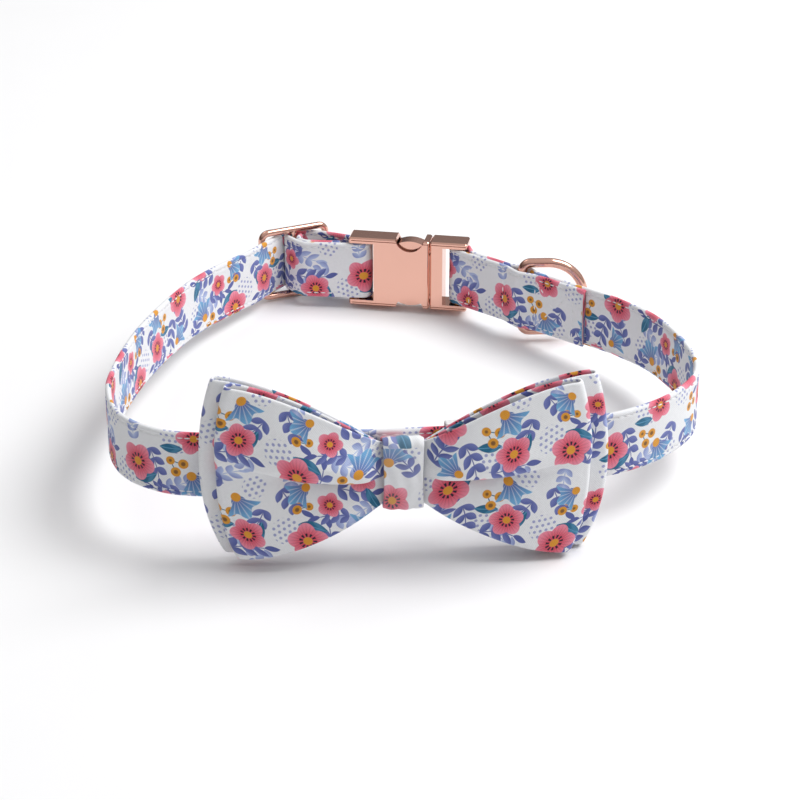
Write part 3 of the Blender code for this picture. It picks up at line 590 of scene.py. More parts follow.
def smooth_step(value):
    value = max(0.0, min(1.0, value))
    return value * value * (3 - 2 * value)


def strap_section():
    """Points round the strap's cross-section: out from its middle, and height."""
    strap = settings().strap
    half_w = strap.width / 2
    half_t = strap.thickness / 2
    seam = half_w - strap.stitch_inset
    flat = half_w - half_t
    heights = [share * flat for share in FACE_SHARES] + [seam + offset for offset in SEAM_OFFSETS] + [flat]
    section = []
    for z in [-h for h in reversed(heights[1:])] + heights:
        dip = math.exp(-(((abs(z) - seam) / SEAM_DIP_SPAN) ** 2))
        section.append((half_t * (FACE_SWELL - SEAM_DIP * dip), z))
    for k in (1, 2, 3):
        angle = math.pi * k / 4
        section.append((half_t * math.cos(angle), flat + half_t * math.sin(angle)))
    return section + [(-out, -z) for out, z in section]


def strap_mesh(points):
    normals, runs = path_frames(points)
    section = strap_section()
    around = runs_round([Vector(place) for place in section])

    def point(i, j):
        out, z = section[j]
        ripple = STRAP_RIPPLE * noise.noise(Vector((runs[i] * 90, z * 120, 3.0)))
        place = points[i] + normals[i] * (out + ripple * (1 if out > 0 else -1))
        return place.x, place.y, z

    def uv(i, j):
        return runs[i], around[j]

    return lattice("strap", len(points), len(section), point, uv, across=True, caps=True)


# Node trees written as formulas

class Wire:
    """A value in a node tree: a formula written on it adds the nodes that it needs."""

    def __init__(self, recipe, socket):
        self.recipe = recipe
        self.socket = socket

    def math(self, operation, *others, clamp=False):
        return self.recipe.math(operation, self, *others, clamp=clamp)

    def __add__(self, other):
        return self.math("ADD", other)

    def __sub__(self, other):
        return self.math("SUBTRACT", other)

    def __rsub__(self, other):
        return self.recipe.math("SUBTRACT", other, self)

    def __mul__(self, other):
        return self.math("MULTIPLY", other)

    def __neg__(self):
        return self.math("MULTIPLY", -1.0)

    def __abs__(self):
        return self.math("ABSOLUTE")

    def times_add(self, factor, addend):
        return self.math("MULTIPLY_ADD", factor, addend)

    def out(self, index):
        """Another output of the node that this value comes from."""
        return Wire(self.recipe, self.socket.node.outputs[index])

    def mask(self, blur):
        """1 where this distance is inside, 0 outside, with an edge as wide as blur."""
        return self.math("MULTIPLY_ADD", 1.0 / blur, 0.5, clamp=True)


class Recipe:
    """A node tree as it is being written."""

    def __init__(self, tree):
        self.tree = tree

    def node(self, kind, values=None, sockets=None, output=0):
        """One node: its own values first, then what its sockets hold or are linked to."""
        made = self.tree.nodes.new(kind)
        for key, value in (values or {}).items():
            if key == "stops":
                self.set_stops(made.color_ramp, value)
            else:
                setattr(made, key, value)
        for key, value in (sockets or {}).items():
            if isinstance(value, Wire):
                self.tree.links.new(value.socket, made.inputs[key])
            else:
                made.inputs[key].default_value = value
        return Wire(self, made.outputs[output]) if made.outputs else None

    @staticmethod
    def set_stops(ramp, stops):
        while len(ramp.elements) < len(stops):
            ramp.elements.new(1.0)
        for element, (place, colour) in zip(ramp.elements, stops):
            element.position = place
            element.color = (*colour, 1.0)

    def math(self, operation, *terms, clamp=False):
        values = {"operation": operation, "use_clamp": clamp}
        return self.node("ShaderNodeMath", values, dict(enumerate(terms)))

    def mix(self, factor, first, second, blend="MIX"):
        def colour(value):
            return value if isinstance(value, Wire) else (*value, 1.0)

        return self.node(
            "ShaderNodeMix",
            {"data_type": "RGBA", "blend_type": blend},
            {0: factor, 6: colour(first), 7: colour(second)},
            output=2,
        )

    def split(self, vector):
        x = self.node("ShaderNodeSeparateXYZ", {}, {0: vector})
        return x, x.out(1)

    def noise(self, place, scale, detail=2.0):
        return self.node("ShaderNodeTexNoise", {}, {"Vector": place, "Scale": scale, "Detail": detail})

    def object_place(self):
        return self.node("ShaderNodeTexCoord", {}, {}, output=3)

    def bump(self, height, distance, strength=1.0):
        return self.node("ShaderNodeBump", {}, {"Height": height, "Distance": distance, "Strength": strength})


def radius_of(x, y):
    return (x * x + y * y).math("SQRT")


# The floral print, written in millimetres on the cloth

Motif = namedtuple("Motif", "kind across up turn_deg size")
PRINT_LAYOUT = (
    Motif("dots", 0.10, -0.12, 0, 4.6),
    Motif("dots", -0.42, 0.36, 20, 4.2),
    Motif("dots", 0.38, 0.36, 50, 3.4),
    Motif("pale_sprig", 0.02, 0.42, -35, 1.25),
    Motif("pale_sprig", 0.38, -0.40, 200, 1.15),
    Motif("pale_sprig", -0.30, -0.02, 255, 1.05),
    Motif("sprig", -0.14, 0.02, 62, 1.35),
    Motif("sprig", 0.44, 0.12, 118, 1.3),
    Motif("sprig", -0.40, -0.22, 292, 1.3),
    Motif("sprig", 0.06, -0.28, -12, 1.4),
    Motif("sprig", 0.12, 0.44, 168, 1.15),
    Motif("leaf", -0.08, 0.28, 150, 8.4),
    Motif("leaf", -0.10, 0.20, 205, 7.2),
    Motif("leaf", 0.30, -0.24, -70, 8.0),
    Motif("leaf", 0.16, -0.02, 175, 6.8),
    Motif("berries", 0.06, 0.12, 40, 1.5),
    Motif("berries", -0.20, -0.44, 160, 1.4),
    Motif("bell", 0.22, 0.26, 65, 7.4),
    Motif("bell", -0.20, -0.26, 215, 6.4),
    Motif("blossom", -0.27, 0.20, 10, 5.9),
    Motif("blossom", 0.25, -0.13, 40, 5.1),
    Motif("blossom", -0.02, -0.44, 70, 3.7),
)


def motif_place(x, y, motif):
    """Coordinates about one motif, in a half-drop repeat whose every second column is mirrored."""
    pattern = settings().pattern
    width = pattern.repeat_width / MM
    height = pattern.repeat_height / MM
    moved = x - motif.across * width
    column = moved.times_add(1 / width, 0.5).math("FLOOR")
    near_x = column.times_add(-width, moved)
    dropped = column.times_add(height / 2, y)
    near_y = (dropped - motif.up * height).math("WRAP", height / 2, -height / 2)
    flip = (column * math.pi).math("COSINE")
    near_y = near_y * flip
    turn = math.radians(motif.turn_deg)
    along = near_x.times_add(math.cos(turn), near_y * math.sin(turn))
    across = near_x.times_add(-math.sin(turn), near_y * math.cos(turn))
    return along, across


def almond(along, across, length, half_width):
    """Distance inside an almond leaf that grows from the origin."""
    share = along * (1 / length)
    return (share * (1 - share)).times_add(4 * half_width, -abs(across))


def paint_blossom(recipe, ground, x, y, size, colours):
    r = radius_of(x, y)
    turn = y.math("ARCTAN2", x)
    lobe = abs((turn * 2.5).math("COSINE"))
    edge = lobe.times_add(0.26 * size, 0.74 * size)
    inside = edge - r
    depth = r.times_add(1.25 / size, -0.45).math("MINIMUM", 0.8).math("MAXIMUM", 0.0)
    petal = recipe.mix(depth, colours.petal, colours.petal_pale)
    fine = (turn * 27).math("SINE").times_add(0.5, 0.1).math("MAXIMUM", 0.0) * (1 - depth)
    petal = recipe.mix(fine * 0.45, petal, colours.ink)
    gap = (0.30 - lobe).math("MULTIPLY", 3.0, clamp=True) * depth
    petal = recipe.mix(gap, petal, colours.petal)
    painted = recipe.mix(inside.mask(0.16), ground, petal)
    stamens = (0.09 * size - abs(r - 0.34 * size)).mask(0.2) * (turn * 11).math("SINE").mask(0.5)
    painted = recipe.mix(stamens, painted, colours.ink)
    return recipe.mix((0.22 * size - r).mask(0.16), painted, colours.berry)


def paint_bell(recipe, ground, x, y, size, colours):
    r = radius_of(x, y)
    turn = y.math("ARCTAN2", x)
    edge = (turn * 6.4).math("COSINE").times_add(0.13 * size, 0.84 * size)
    side = (0.92 - abs(turn)) * r
    inside = (edge - r).math("MINIMUM", side)
    cup = 0.30 * size - radius_of(x - 0.24 * size, y)
    inside = inside.math("MAXIMUM", cup)
    shade = r.times_add(1.1 / size, -0.1).math("MINIMUM", 1.0)
    colour = recipe.mix(shade, colours.leaf, colours.bell)
    vein = (turn * 19).math("COSINE").times_add(1.0, -0.45).math("MAXIMUM", 0.0)
    colour = recipe.mix(vein * 0.8, colour, colours.ground)
    painted = recipe.mix(inside.mask(0.16), ground, colour)
    return recipe.mix((0.19 * size - r).mask(0.16), painted, colours.berry)


def paint_leaf(recipe, ground, x, y, size, colours):
    bent = y - x * x * (0.10 / size)
    inside = almond(x, bent, size, 0.21 * size)
    rib = (0.13 - abs(bent)).mask(0.12)
    side = (x * (7.5 / size) - abs(bent) * (9.0 / size)).math("SINE").times_add(0.7, -0.2)
    colour = recipe.mix(rib.math("MAXIMUM", side) * 0.55, colours.teal, colours.bell)
    return recipe.mix(inside.mask(0.14), ground, colour)


def paint_pale_sprig(recipe, ground, x, y, size, colours):
    return paint_sprig(recipe, ground, x, y, size, colours, colours.sprig_pale)


def paint_sprig(recipe, ground, x, y, size, colours, dark=None):
    pitch = 2.25 * size
    count = 3
    bent = y - x * x * (0.030 / size)
    slot = (x * (1 / pitch)).math("FLOOR").math("MAXIMUM", 0.0).math("MINIMUM", count - 1.0)
    local = slot.times_add(-pitch, x)
    folded = abs(bent)
    lean = math.radians(46)
    along = local.times_add(math.cos(lean), folded * math.sin(lean))
    across = local.times_add(-math.sin(lean), folded * math.cos(lean))
    leaves = almond(along, across, 3.1 * size, 0.78 * size)
    tip = almond(x - count * pitch, bent, 3.0 * size, 0.75 * size)
    stem = (0.15 - folded).math("MINIMUM", x).math("MINIMUM", count * pitch - x)
    inside = leaves.math("MAXIMUM", tip).math("MAXIMUM", stem)
    light = across.times_add(0.55 / size, 0.35).math("MAXIMUM", 0.0).math("MINIMUM", 1.0)
    colour = recipe.mix(light, dark or colours.leaf, colours.leaf_pale)
    return recipe.mix(inside.mask(0.13), ground, colour)


def paint_berries(recipe, ground, x, y, size, colours):
    folded = abs(y)
    stem = (0.16 - abs(folded - x * 0.45 - 0.2 * size)).math("MINIMUM", x + 2.2 * size)
    stem = stem.math("MINIMUM", 1.6 * size - x)
    painted = recipe.mix(stem.mask(0.12), ground, colours.teal)
    pair = 0.98 * size - radius_of(x - 1.9 * size, folded - 1.15 * size)
    lone = 0.85 * size - radius_of(x + 0.3 * size, y)
    inside = pair.math("MAXIMUM", lone)
    painted = recipe.mix(inside.mask(0.14), painted, colours.berry)
    return recipe.mix((inside - 0.55 * size).mask(0.3) * 0.7, painted, colours.ink)


def paint_dots(recipe, ground, x, y, size, colours):
    pitch = 1.7
    region = size - radius_of(x, y)
    row = (y * (1 / pitch)).math("FLOOR")
    cell_x = row.times_add(0.5 * pitch, x).math("WRAP", pitch / 2, -pitch / 2)
    cell_y = y.math("WRAP", pitch, 0.0) - pitch / 2
    dot = (0.46 - radius_of(cell_x, cell_y)).math("MINIMUM", region)
    return recipe.mix(dot.mask(0.16) * 0.75, ground, colours.leaf_pale)


PAINTERS = {
    "dots": paint_dots,
    "pale_sprig": paint_pale_sprig,
    "sprig": paint_sprig,
    "leaf": paint_leaf,
    "berries": paint_berries,
    "bell": paint_bell,
    "blossom": paint_blossom,
}


def floral_print():
    """The printed cotton's colour as a node group, read from a place on the cloth in millimetres."""
    found = bpy.data.node_groups.get("floral print")
    if found:
        return found
    tree = bpy.data.node_groups.new("floral print", "ShaderNodeTree")
    tree.interface.new_socket("Place", in_out="INPUT", socket_type="NodeSocketVector")
    tree.interface.new_socket("Colour", in_out="OUTPUT", socket_type="NodeSocketColor")
    recipe = Recipe(tree)
    x, y = recipe.split(recipe.node("NodeGroupInput"))
    colours = settings().pattern
    painted = recipe.mix(0.0, colours.ground, colours.ground)
    for motif in PRINT_LAYOUT:
        along, across = motif_place(x, y, motif)
        painted = PAINTERS[motif.kind](recipe, painted, along, across, motif.size, colours)
    recipe.node("NodeGroupOutput", {}, {0: painted})
    return tree


# Materials

def new_material(name, roughness, metallic=0.0, specular=0.5, sheen=0.0):
    """A Principled material with its constant sockets set, and the recipe that writes the rest."""
    material = bpy.data.materials.new(name)
    material.use_nodes = True
    shader = material.node_tree.nodes["Principled BSDF"]
    shader.inputs["Roughness"].default_value = roughness
    shader.inputs["Metallic"].default_value = metallic
    shader.inputs["Specular IOR Level"].default_value = specular
    shader.inputs["Sheen Weight"].default_value = sheen
    recipe = Recipe(material.node_tree)

    def feed(socket, wire):
        recipe.tree.links.new(wire.socket, shader.inputs[socket])

    return material, recipe, feed


def cloth_place(recipe, offset=(0.0, 0.0)):
    """The cloth's own coordinates in millimetres."""
    uv = recipe.node("ShaderNodeUVMap", {"uv_map": "cloth"})
    scaled = recipe.node("ShaderNodeVectorMath", {"operation": "SCALE"}, {0: uv, "Scale": 1 / MM})
    return recipe.node("ShaderNodeVectorMath", {"operation": "ADD"}, {0: scaled, 1: (*offset, 0.0)})


def printed_cotton(name, offset, fade=0.0):
    """Printed plain-weave cotton. Fade pales the print, as on the knot."""
    material, recipe, feed = new_material(name, 0.82, specular=0.25, sheen=0.18)
    place = cloth_place(recipe, offset)
    colour = recipe.node("ShaderNodeGroup", {"node_tree": floral_print()}, {"Place": place})
    x, y = recipe.split(place)
    threads = (x * WEAVE).math("SINE") * (y * WEAVE).math("SINE")
    slubs = recipe.noise(place, SLUB_SCALE, 3.0)
    # Painted shade: the weave's hollows between threads are a little darker than its crossings, and the slubs
    # vary the tone at random
    weave_shade_and_slub_tone = slubs.times_add(0.15, threads.times_add(0.055, 0.90))
    grey = recipe.node("ShaderNodeCombineColor", {}, {0: weave_shade_and_slub_tone, 1: weave_shade_and_slub_tone, 2: weave_shade_and_slub_tone})
    colour = recipe.mix(1.0, colour, grey, "MULTIPLY")
    if fade:
        colour = recipe.mix(fade, colour, settings().pattern.ground)
    feed("Base Color", colour)
    wrinkles = recipe.noise(place, WRINKLE_SCALE)
    height = wrinkles.times_add(3.0, threads * 0.22) + slubs * 0.4
    feed("Normal", recipe.bump(height, 0.00012, 0.8))
    return material


def sewing_thread():
    material, recipe, feed = new_material("sewing_thread", 0.6, sheen=0.2)
    grain = recipe.noise(recipe.object_place(), 900.0)
    feed("Base Color", recipe.mix(grain, (0.80, 0.80, 0.82), (0.90, 0.90, 0.91)))
    return material


def knitted_elastic():
    material, recipe, feed = new_material("knitted_elastic", 0.85, sheen=0.2)
    place = cloth_place(recipe)
    x, y = recipe.split(place)
    ribs = (y * 7.5).math("SINE")
    cross = (x * 4.2).math("SINE")
    # Painted shade: the ribs' hollows are painted grey and their crowns white
    feed("Base Color", recipe.mix(ribs.times_add(0.25, 0.5), (0.72, 0.72, 0.73), (0.90, 0.90, 0.90)))
    feed("Normal", recipe.bump(ribs + cross * 0.4, 0.00010, 0.9))
    return material


def polished_rose_gold():
    found = bpy.data.materials.get("polished_rose_gold")
    if found:
        return found
    colour = settings().hardware.colour
    material, recipe, feed = new_material("polished_rose_gold", 0.14, 1.0)
    place = recipe.object_place()
    cloud = recipe.noise(place, 70.0, 4.0)
    grain = recipe.noise(place, 900.0)
    worn = tuple(min(1.0, 1.07 * c) for c in colour)
    feed("Base Color", recipe.mix(cloud, tuple(colour), worn))
    feed("Roughness", cloud.times_add(0.08, grain.times_add(0.05, 0.07)))
    feed("Normal", recipe.bump(cloud * 0.6 + grain * 0.05, 0.00005, 0.5))
    return material


# Strap

def build_strap():
    points = strap_route()
    obj = strap_mesh(points)
    lay_in_part(obj, loop_matrix())
    cotton = printed_cotton("strap_cotton", (3.0, 4.0))
    finish_piece(obj, MAIN_BODY, cotton, ["collar_strap"])
    length = path_frames(points)[1][-1]


def stitch_spots():
    """Where each stitch lies: its middle, the direction it runs in, and the cloth's outward normal."""
    strap = settings().strap
    points = strap_route()
    normals, runs = path_frames(points)
    seam = strap.width / 2 - strap.stitch_inset
    out = STITCH_OUT * strap.thickness
    spots = []
    next_run = strap.stitch_pitch
    for i in range(1, len(points) - 1):
        if runs[i] < next_run:
            continue
        next_run += strap.stitch_pitch
        along = Vector((*(points[i + 1] - points[i - 1]).normalized(), 0))
        for side in (-1, 1):
            normal = normals[i] * side
            place = points[i] + normal * out
            spots += [(Vector((*place, level)), along, Vector((*normal, 0))) for level in (-seam, seam)]
    face = (strap.thickness + PLY_GAP) / 2 + 0.5 * strap.thickness
    low = RING_FROM_BAR + RING_STITCH_SPAN
    high = TAIL_FROM_BAR - TAIL_STITCH
    straight = (FIRST_STITCH, RING_FROM_BAR - RING_STITCH_SPAN, low, high)
    rows = [(u, u, side) for u in straight for side in (-1, 1)]
    rows += [(*ends, side) for side in (-1, 1) for ends in ((low, high), (high, low))]
    for u_low, u_high, side in rows:
        spots += cross_row(doubled_run(), u_low, u_high, face, side, seam)
    return spots


def cross_row(place, u_low, u_high, out, side, seam):
    """Stitches in a straight row over the doubled strap, from its lower to its upper stitch line."""
    strap = settings().strap
    start = Vector((*place.at(u_low, out * side), -seam))
    end = Vector((*place.at(u_high, out * side), seam))
    count = int((end - start).length / strap.stitch_pitch)
    along = (end - start).normalized()
    normal = Vector((*(place.n * side), 0))
    return [(start.lerp(end, (k + 0.5) / count), along, normal) for k in range(count)]


def build_stitching():
    strap = settings().strap
    deselect()
    bpy.ops.mesh.primitive_uv_sphere_add(segments=6, ring_count=4, radius=1.0)
    seed = bpy.context.object
    seed.scale = (strap.stitch_length / 2, 0.6 * strap.thread, 0.5 * strap.thread)
    bpy.ops.object.transform_apply(location=False, rotation=False, scale=True)
    shape = [vertex.co.copy() for vertex in seed.data.vertices]
    faces = [tuple(face.vertices) for face in seed.data.polygons]
    bpy.data.objects.remove(seed)
    verts = []
    polygons = []
    for middle, along, normal in stitch_spots():
        across = normal.cross(along)
        first = len(verts)
        for corner in shape:
            verts.append(middle + along * corner.x + across * corner.y + normal * corner.z)
        polygons += [tuple(first + index for index in face) for face in faces]
    mesh = bpy.data.meshes.new("strap_stitching")
    mesh.from_pydata(verts, [], polygons)
    mesh.shade_smooth()
    obj = add_object("strap_stitching", mesh)
    lay_in_part(obj, loop_matrix())
    finish_piece(obj, MAIN_BODY, sewing_thread())


# Hardware

def wire_from_rectangle(name, size, corners, radius):
    """A closed round wire: a rectangle's corners are rounded, and its rim gets a thickness.

    corners holds, for the left and the right side, the radius at the wire's middle.
    """
    deselect()
    bpy.ops.mesh.primitive_plane_add(size=1.0, rotation=(math.pi / 2, 0, 0))
    obj = bpy.context.object
    obj.name = name
    obj.scale = (size[0], size[1], 1.0)
    bpy.ops.object.transform_apply(location=True, rotation=True, scale=True)
    for side, corner in zip((-1, 1), corners):
        bpy.ops.object.mode_set(mode="EDIT")
        bm = bmesh.from_edit_mesh(obj.data)
        bm.select_mode = {"VERT"}
        for vertex in bm.verts:
            at_side = abs(vertex.co.x - side * size[0] / 2) < SAME_PLACE
            at_corner = abs(abs(vertex.co.z) - size[1] / 2) < SAME_PLACE
            vertex.select = at_side and at_corner
        bm.select_flush_mode()
        bmesh.update_edit_mesh(obj.data)
        bpy.ops.mesh.select_mode(type="VERT")
        segments = CORNER_SEGMENTS if corner < SMALL_CORNER * size[1] else ARC_SEGMENTS
        bpy.ops.mesh.bevel(offset=corner, segments=segments, affect="VERTICES")
        bpy.ops.object.mode_set(mode="OBJECT")
    bpy.ops.object.mode_set(mode="EDIT")
    bpy.ops.mesh.select_all(action="SELECT")
    bpy.ops.mesh.remove_doubles(threshold=MERGE_DISTANCE)
    bpy.ops.mesh.select_all(action="SELECT")
    bpy.ops.mesh.delete(type="ONLY_FACE")
    bpy.ops.object.mode_set(mode="OBJECT")
    bpy.ops.object.convert(target="CURVE")
    obj = bpy.context.object
    obj.data.dimensions = "3D"
    obj.data.bevel_depth = radius
    obj.data.bevel_resolution = WIRE_FINENESS
    bpy.ops.object.convert(target="MESH")
    obj = bpy.context.object
    obj.name = name
    obj.data.shade_smooth()
    return obj


def build_slider():
    hardware = settings().hardware
    strap = settings().strap
    wire = hardware.slider_wire / 2
    size = (hardware.slider_length - hardware.slider_wire, strap.width + 2 * (hardware.slider_play + wire))
    obj = wire_from_rectangle("slider_frame", size, (hardware.slider_corner,) * 2, wire)
    deselect()
    bpy.ops.mesh.primitive_cylinder_add(vertices=24, radius=wire * BAR_SHARE, depth=size[1])
    bar = bpy.context.object
    bpy.ops.object.shade_smooth_by_angle(angle=math.radians(40))
    take(obj)
    bar.select_set(True)
    bpy.ops.object.join()
    lay_in_part(obj, plan_matrix(seat_frame(SLIDER_SEAT)))
    finish_piece(obj, MAIN_BODY, polished_rose_gold(), ["slider"])


def build_d_ring():
    hardware = settings().hardware
    strap = settings().strap
    wire = hardware.ring_wire / 2
    half = strap.width / 2 + RING_PLAY + wire
    size = (hardware.ring_reach - wire, 2 * half)
    obj = wire_from_rectangle("d_ring_wire", size, (hardware.ring_corner, HALF_ROUND * half), wire)
    obj.data.transform(Matrix.Translation((size[0] / 2, 0, 0)))
    bar = ring_bar()
    turn = DOUBLED_RUN_TURN + math.pi / 2 - math.radians(hardware.ring_lean_deg)
    lay_in_part(obj, plan_matrix(PlanFrame(bar.x, bar.y, turn)))
    finish_piece(obj, RING_BODY, polished_rose_gold(), ["d_ring"])


def build_buckle():
    """The buckle's own solids have the right shape: they get the polished metal."""
    for node in ("buckle_socket", "buckle_plug", "release_lever_upper", "release_lever_lower"):
        obj = frame["nodes"][node]
        obj.data.materials.clear()
        obj.data.materials.append(polished_rose_gold())


# Bow

def bow_frame():
    knot = next(p for p in PLAN if p.place == "behind the knot")
    turn = math.radians(settings().bow.turn_deg)
    place = PlanFrame(knot.across * LOOP_WIDTH, knot.back * LOOP_DEPTH, turn)
    return PlanFrame(*place.at(0, -settings().strap.thickness / 2), turn)


def fold_radius():
    return FOLD_SHARE * (settings().bow.cloth + BOW_GAP)


def wing_reach(layer):
    return layer.half_length * settings().bow.length - fold_radius()


def band_edge():
    return settings().bow.knot_width / 2 + BOW_GAP


def layer_back_level(index):
    bow = settings().bow
    return BOW_GAP + bow.elastic_thickness + BOW_GAP + bow.cloth / 2 + 2 * (bow.cloth + BOW_GAP) * index


def swell(share):
    along = SWELL_START + (1 - SWELL_START) * share
    return math.sin(math.pi * min(1.0, along)) ** SWELL_POWER


def back_level(index, x):
    if index == 0:
        share = min(1.0, x / wing_reach(BOW_LAYERS[0]))
        return layer_back_level(0) + BOW_BACK_SET * smooth_step(share * 1.4)
    return plain_front_level(index - 1, x) + settings().bow.cloth + BOW_GAP


def plain_front_level(index, x):
    bow = settings().bow
    layer = BOW_LAYERS[index]
    share = min(1.0, x / wing_reach(layer))
    spread = 2 * fold_radius() - bow.cloth - BOW_GAP
    closed = back_level(index, x) + bow.cloth + BOW_GAP
    return closed + spread * smooth_step(share * 3) + bow.depth * layer.bulge * swell(share)


def half_height(layer, p, pinched):
    """Half the height of a panel: pinched under the band, then flaring to the wing's end."""
    end = layer.half_height * settings().bow.height
    start = band_edge() / wing_reach(layer)
    free = max(0.0, (p - start) / (1 - start))
    return pinched + (end - pinched) * (1 - (1 - free) ** WING_FLARE)


def wing_width(layer, index, side, share):
    """Reach of a wing at a height share: its corners are pulled in, and each wing has its own trim."""
    pull = layer.pull_top if share > 0 else layer.pull_low
    reach = wing_reach(layer) + WING_TRIM[side][index]
    return reach - pull * settings().bow.length * abs(share) ** CORNER_PULL_POWER


def wing_lift(side, p):
    return WING_LIFT[side] * p * p


def row_share(j, line):
    """Height share of row j, with rows gathered at the pleat's line."""
    low = line - FOLD_HALF_SHARE
    high = line + FOLD_HALF_SHARE
    if j <= ROWS_BELOW:
        return -1 + (low + 1) * j / ROWS_BELOW
    if j <= ROWS_BELOW + ROWS_IN_FOLD:
        return low + (high - low) * (j - ROWS_BELOW) / ROWS_IN_FOLD
    return high + (1 - high) * (j - ROWS_BELOW - ROWS_IN_FOLD) / ROWS_ABOVE


def pleat_line(p):
    return PLEAT_AT_KNOT + (PLEAT_AT_END - PLEAT_AT_KNOT) * p


def pleat_fade(p):
    """Strength of the pleat along a wing, from the knot out to the end."""
    return 1 - PLEAT_FADE * smooth_step((p - PLEAT_FADE_FROM) / (1 - PLEAT_FADE_FROM))


def front_point(layer, index, p, share, side):
    """A point of a front panel: p from knot to end, share from bottom to top."""
    bow = settings().bow
    x = wing_width(layer, index, side, share) * p
    half = half_height(layer, p, PINCHED[index][1])
    out = plain_front_level(index, x)
    height = share
    free = max(0.0, x - band_edge())
    open_share = smooth_step(free / PLEAT_OPENING)
    if layer.pleat:
        out -= bow.depth * layer.bulge * swell(p) * EDGE_FALL * share * share
        t = (share - pleat_line(p)) / FOLD_HALF_SHARE
        fading = pleat_fade(p) * layer.pleat
        if abs(t) < 1:
            lap = (0.5 * bow.pleat_overlap / half + 0.5 * FOLD_HALF_SHARE) * min(1.0, 1.3 * fading)
            height -= lap * math.sin(math.pi * t) * (1 - t * t) ** 0.5
        step = smooth_step((t + 1) / 2)
        below = math.exp(-max(0.0, -t - 1) * FOLD_HALF_SHARE / SPREAD_BELOW)
        above = math.exp(-max(0.0, t - 1) * FOLD_HALF_SHARE / SPREAD_ABOVE)
        forward = PLEAT_IN_FRONT * (0.2 + 0.8 * open_share) * step * above
        backward = PLEAT_BEHIND * smooth_step(free / PLEAT_ROOM) * (1 - step) * below
        out += bow.pleat_depth * fading * (forward - backward)
    crease = math.exp(-CREASE_END * p) * open_share
    out += CREASE * crease * math.sin(7.0 * share + 1.3 * side + index)
    seed = Vector((x * 38 * side, share * 1.7, 4.0 * index + side))
    out += UNEVENNESS * open_share * noise.noise(seed)
    return Vector((x, -out, height * half + wing_lift(side, p)))


def back_point(layer, index, p, share, side):
    x = wing_width(layer, index, side, share) * p
    half = half_height(layer, p, PINCHED[index][0])
    return Vector((x, -back_level(index, x), share * half + wing_lift(side, p)))


def fold_point(layer, index, t, share, side):
    """The wing's end, where the front panel turns into the back one. t runs from 0 to 1."""
    front = front_point(layer, index, 1.0, share, side)
    back = back_point(layer, index, 1.0, share, side)
    angle = math.pi * t
    middle = (front + back) / 2
    half = (front - back) / 2
    reach = abs(half.y) * math.sin(angle)
    return middle + half * math.cos(angle) + Vector((reach, 0, 0))


def wing_stations():
    """Stations of one wing from the knot's middle over the front, round the end and back behind."""
    stations = [("front", k / FRONT_STEPS) for k in range(FRONT_STEPS + 1)]
    stations += [("fold", k / FOLD_STEPS) for k in range(1, FOLD_STEPS)]
    return stations + [("back", 1 - k / BACK_STEPS) for k in range(BACK_STEPS)]


def bow_layer_mesh(layer, index):
    right = wing_stations()
    ring = [(1, *station) for station in right] + [(-1, "back", 0.0)]
    ring += [(-1, *station) for station in reversed(right[1:])]
    points = {"front": front_point, "fold": fold_point, "back": back_point}
    grid = []
    for side, kind, p in ring:
        line = pleat_line(1.0 if kind == "fold" else p)
        row = [points[kind](layer, index, p, row_share(j, line), side) for j in range(ROW_COUNT)]
        grid.append([Vector((side * point.x, point.y, point.z)) for point in row])
    middle = ROW_COUNT // 2
    count = len(grid)
    runs = runs_round([row[middle] for row in grid])
    heights = []
    for row in grid:
        lengths = [0.0] * ROW_COUNT
        for j in range(middle + 1, ROW_COUNT):
            lengths[j] = lengths[j - 1] + (row[j] - row[j - 1]).length
        for j in range(middle - 1, -1, -1):
            lengths[j] = lengths[j + 1] - (row[j + 1] - row[j]).length
        heights.append(lengths)

    def uv(i, j):
        return runs[i], heights[i % count][j]

    obj = lattice(layer.name, count, ROW_COUNT, lambda i, j: grid[i][j], uv, around=True)
    area = sum(face.area for face in obj.data.polygons)
    return obj, runs[-1], area


def build_bow_layers():
    place = bow_frame()
    bow = settings().bow
    cloth = printed_cotton("bow_cotton", (11.0, 2.0))
    for index, layer in enumerate(BOW_LAYERS):
        obj, around, area = bow_layer_mesh(layer, index)
        thicken(obj, bow.cloth)
        lay_in_part(obj, plan_matrix(place) @ Matrix.Translation((0, 0, bow.rise)))
        finish_piece(obj, MAIN_BODY, cloth, [layer.node])
        area / around


def band_outline(low, high, half, corner, steps, back_half=None):
    """Points round a band with round corners, as out and height. Its back may be lower than its front."""
    back_half = back_half or half
    middles = (
        (high - corner, half - corner, 0.0),
        (low + corner, back_half - corner, 0.5 * math.pi),
        (low + corner, -back_half + corner, math.pi),
        (high - corner, -half + corner, 1.5 * math.pi),
    )
    points = []
    for out, z, start in middles:
        for k in range(steps + 1):
            angle = start + 0.5 * math.pi * k / steps
            points.append(Vector((out + corner * math.cos(angle), z + corner * math.sin(angle))))
    filled = []
    for i, point in enumerate(points):
        following = points[(i + 1) % len(points)]
        parts = max(1, math.ceil((following - point).length / (0.8 * MM)))
        filled += [point.lerp(following, k / parts) for k in range(parts)]
    return filled


def band_mesh(name, outline, width, columns, shape=None):
    """A closed band of cloth round an outline. shape says how narrow it is at a place, and how far out."""
    count = len(outline)
    runs = runs_round(outline)
    normals = []
    for i in range(count):
        along = outline[(i + 1) % count] - outline[i - 1]
        normals.append(Vector((along.y, -along.x)).normalized())

    def point(i, j):
        share = -1 + 2 * j / (columns - 1)
        narrow, push = shape(share, outline[i], runs[i]) if shape else (1.0, 0.0)
        place = outline[i] + normals[i] * push
        return share * narrow * width / 2, -place.x, place.y

    def uv(i, j):
        return j / (columns - 1) * width, runs[i]

    return lattice(name, count, columns, point, uv, around=True), runs[-1]


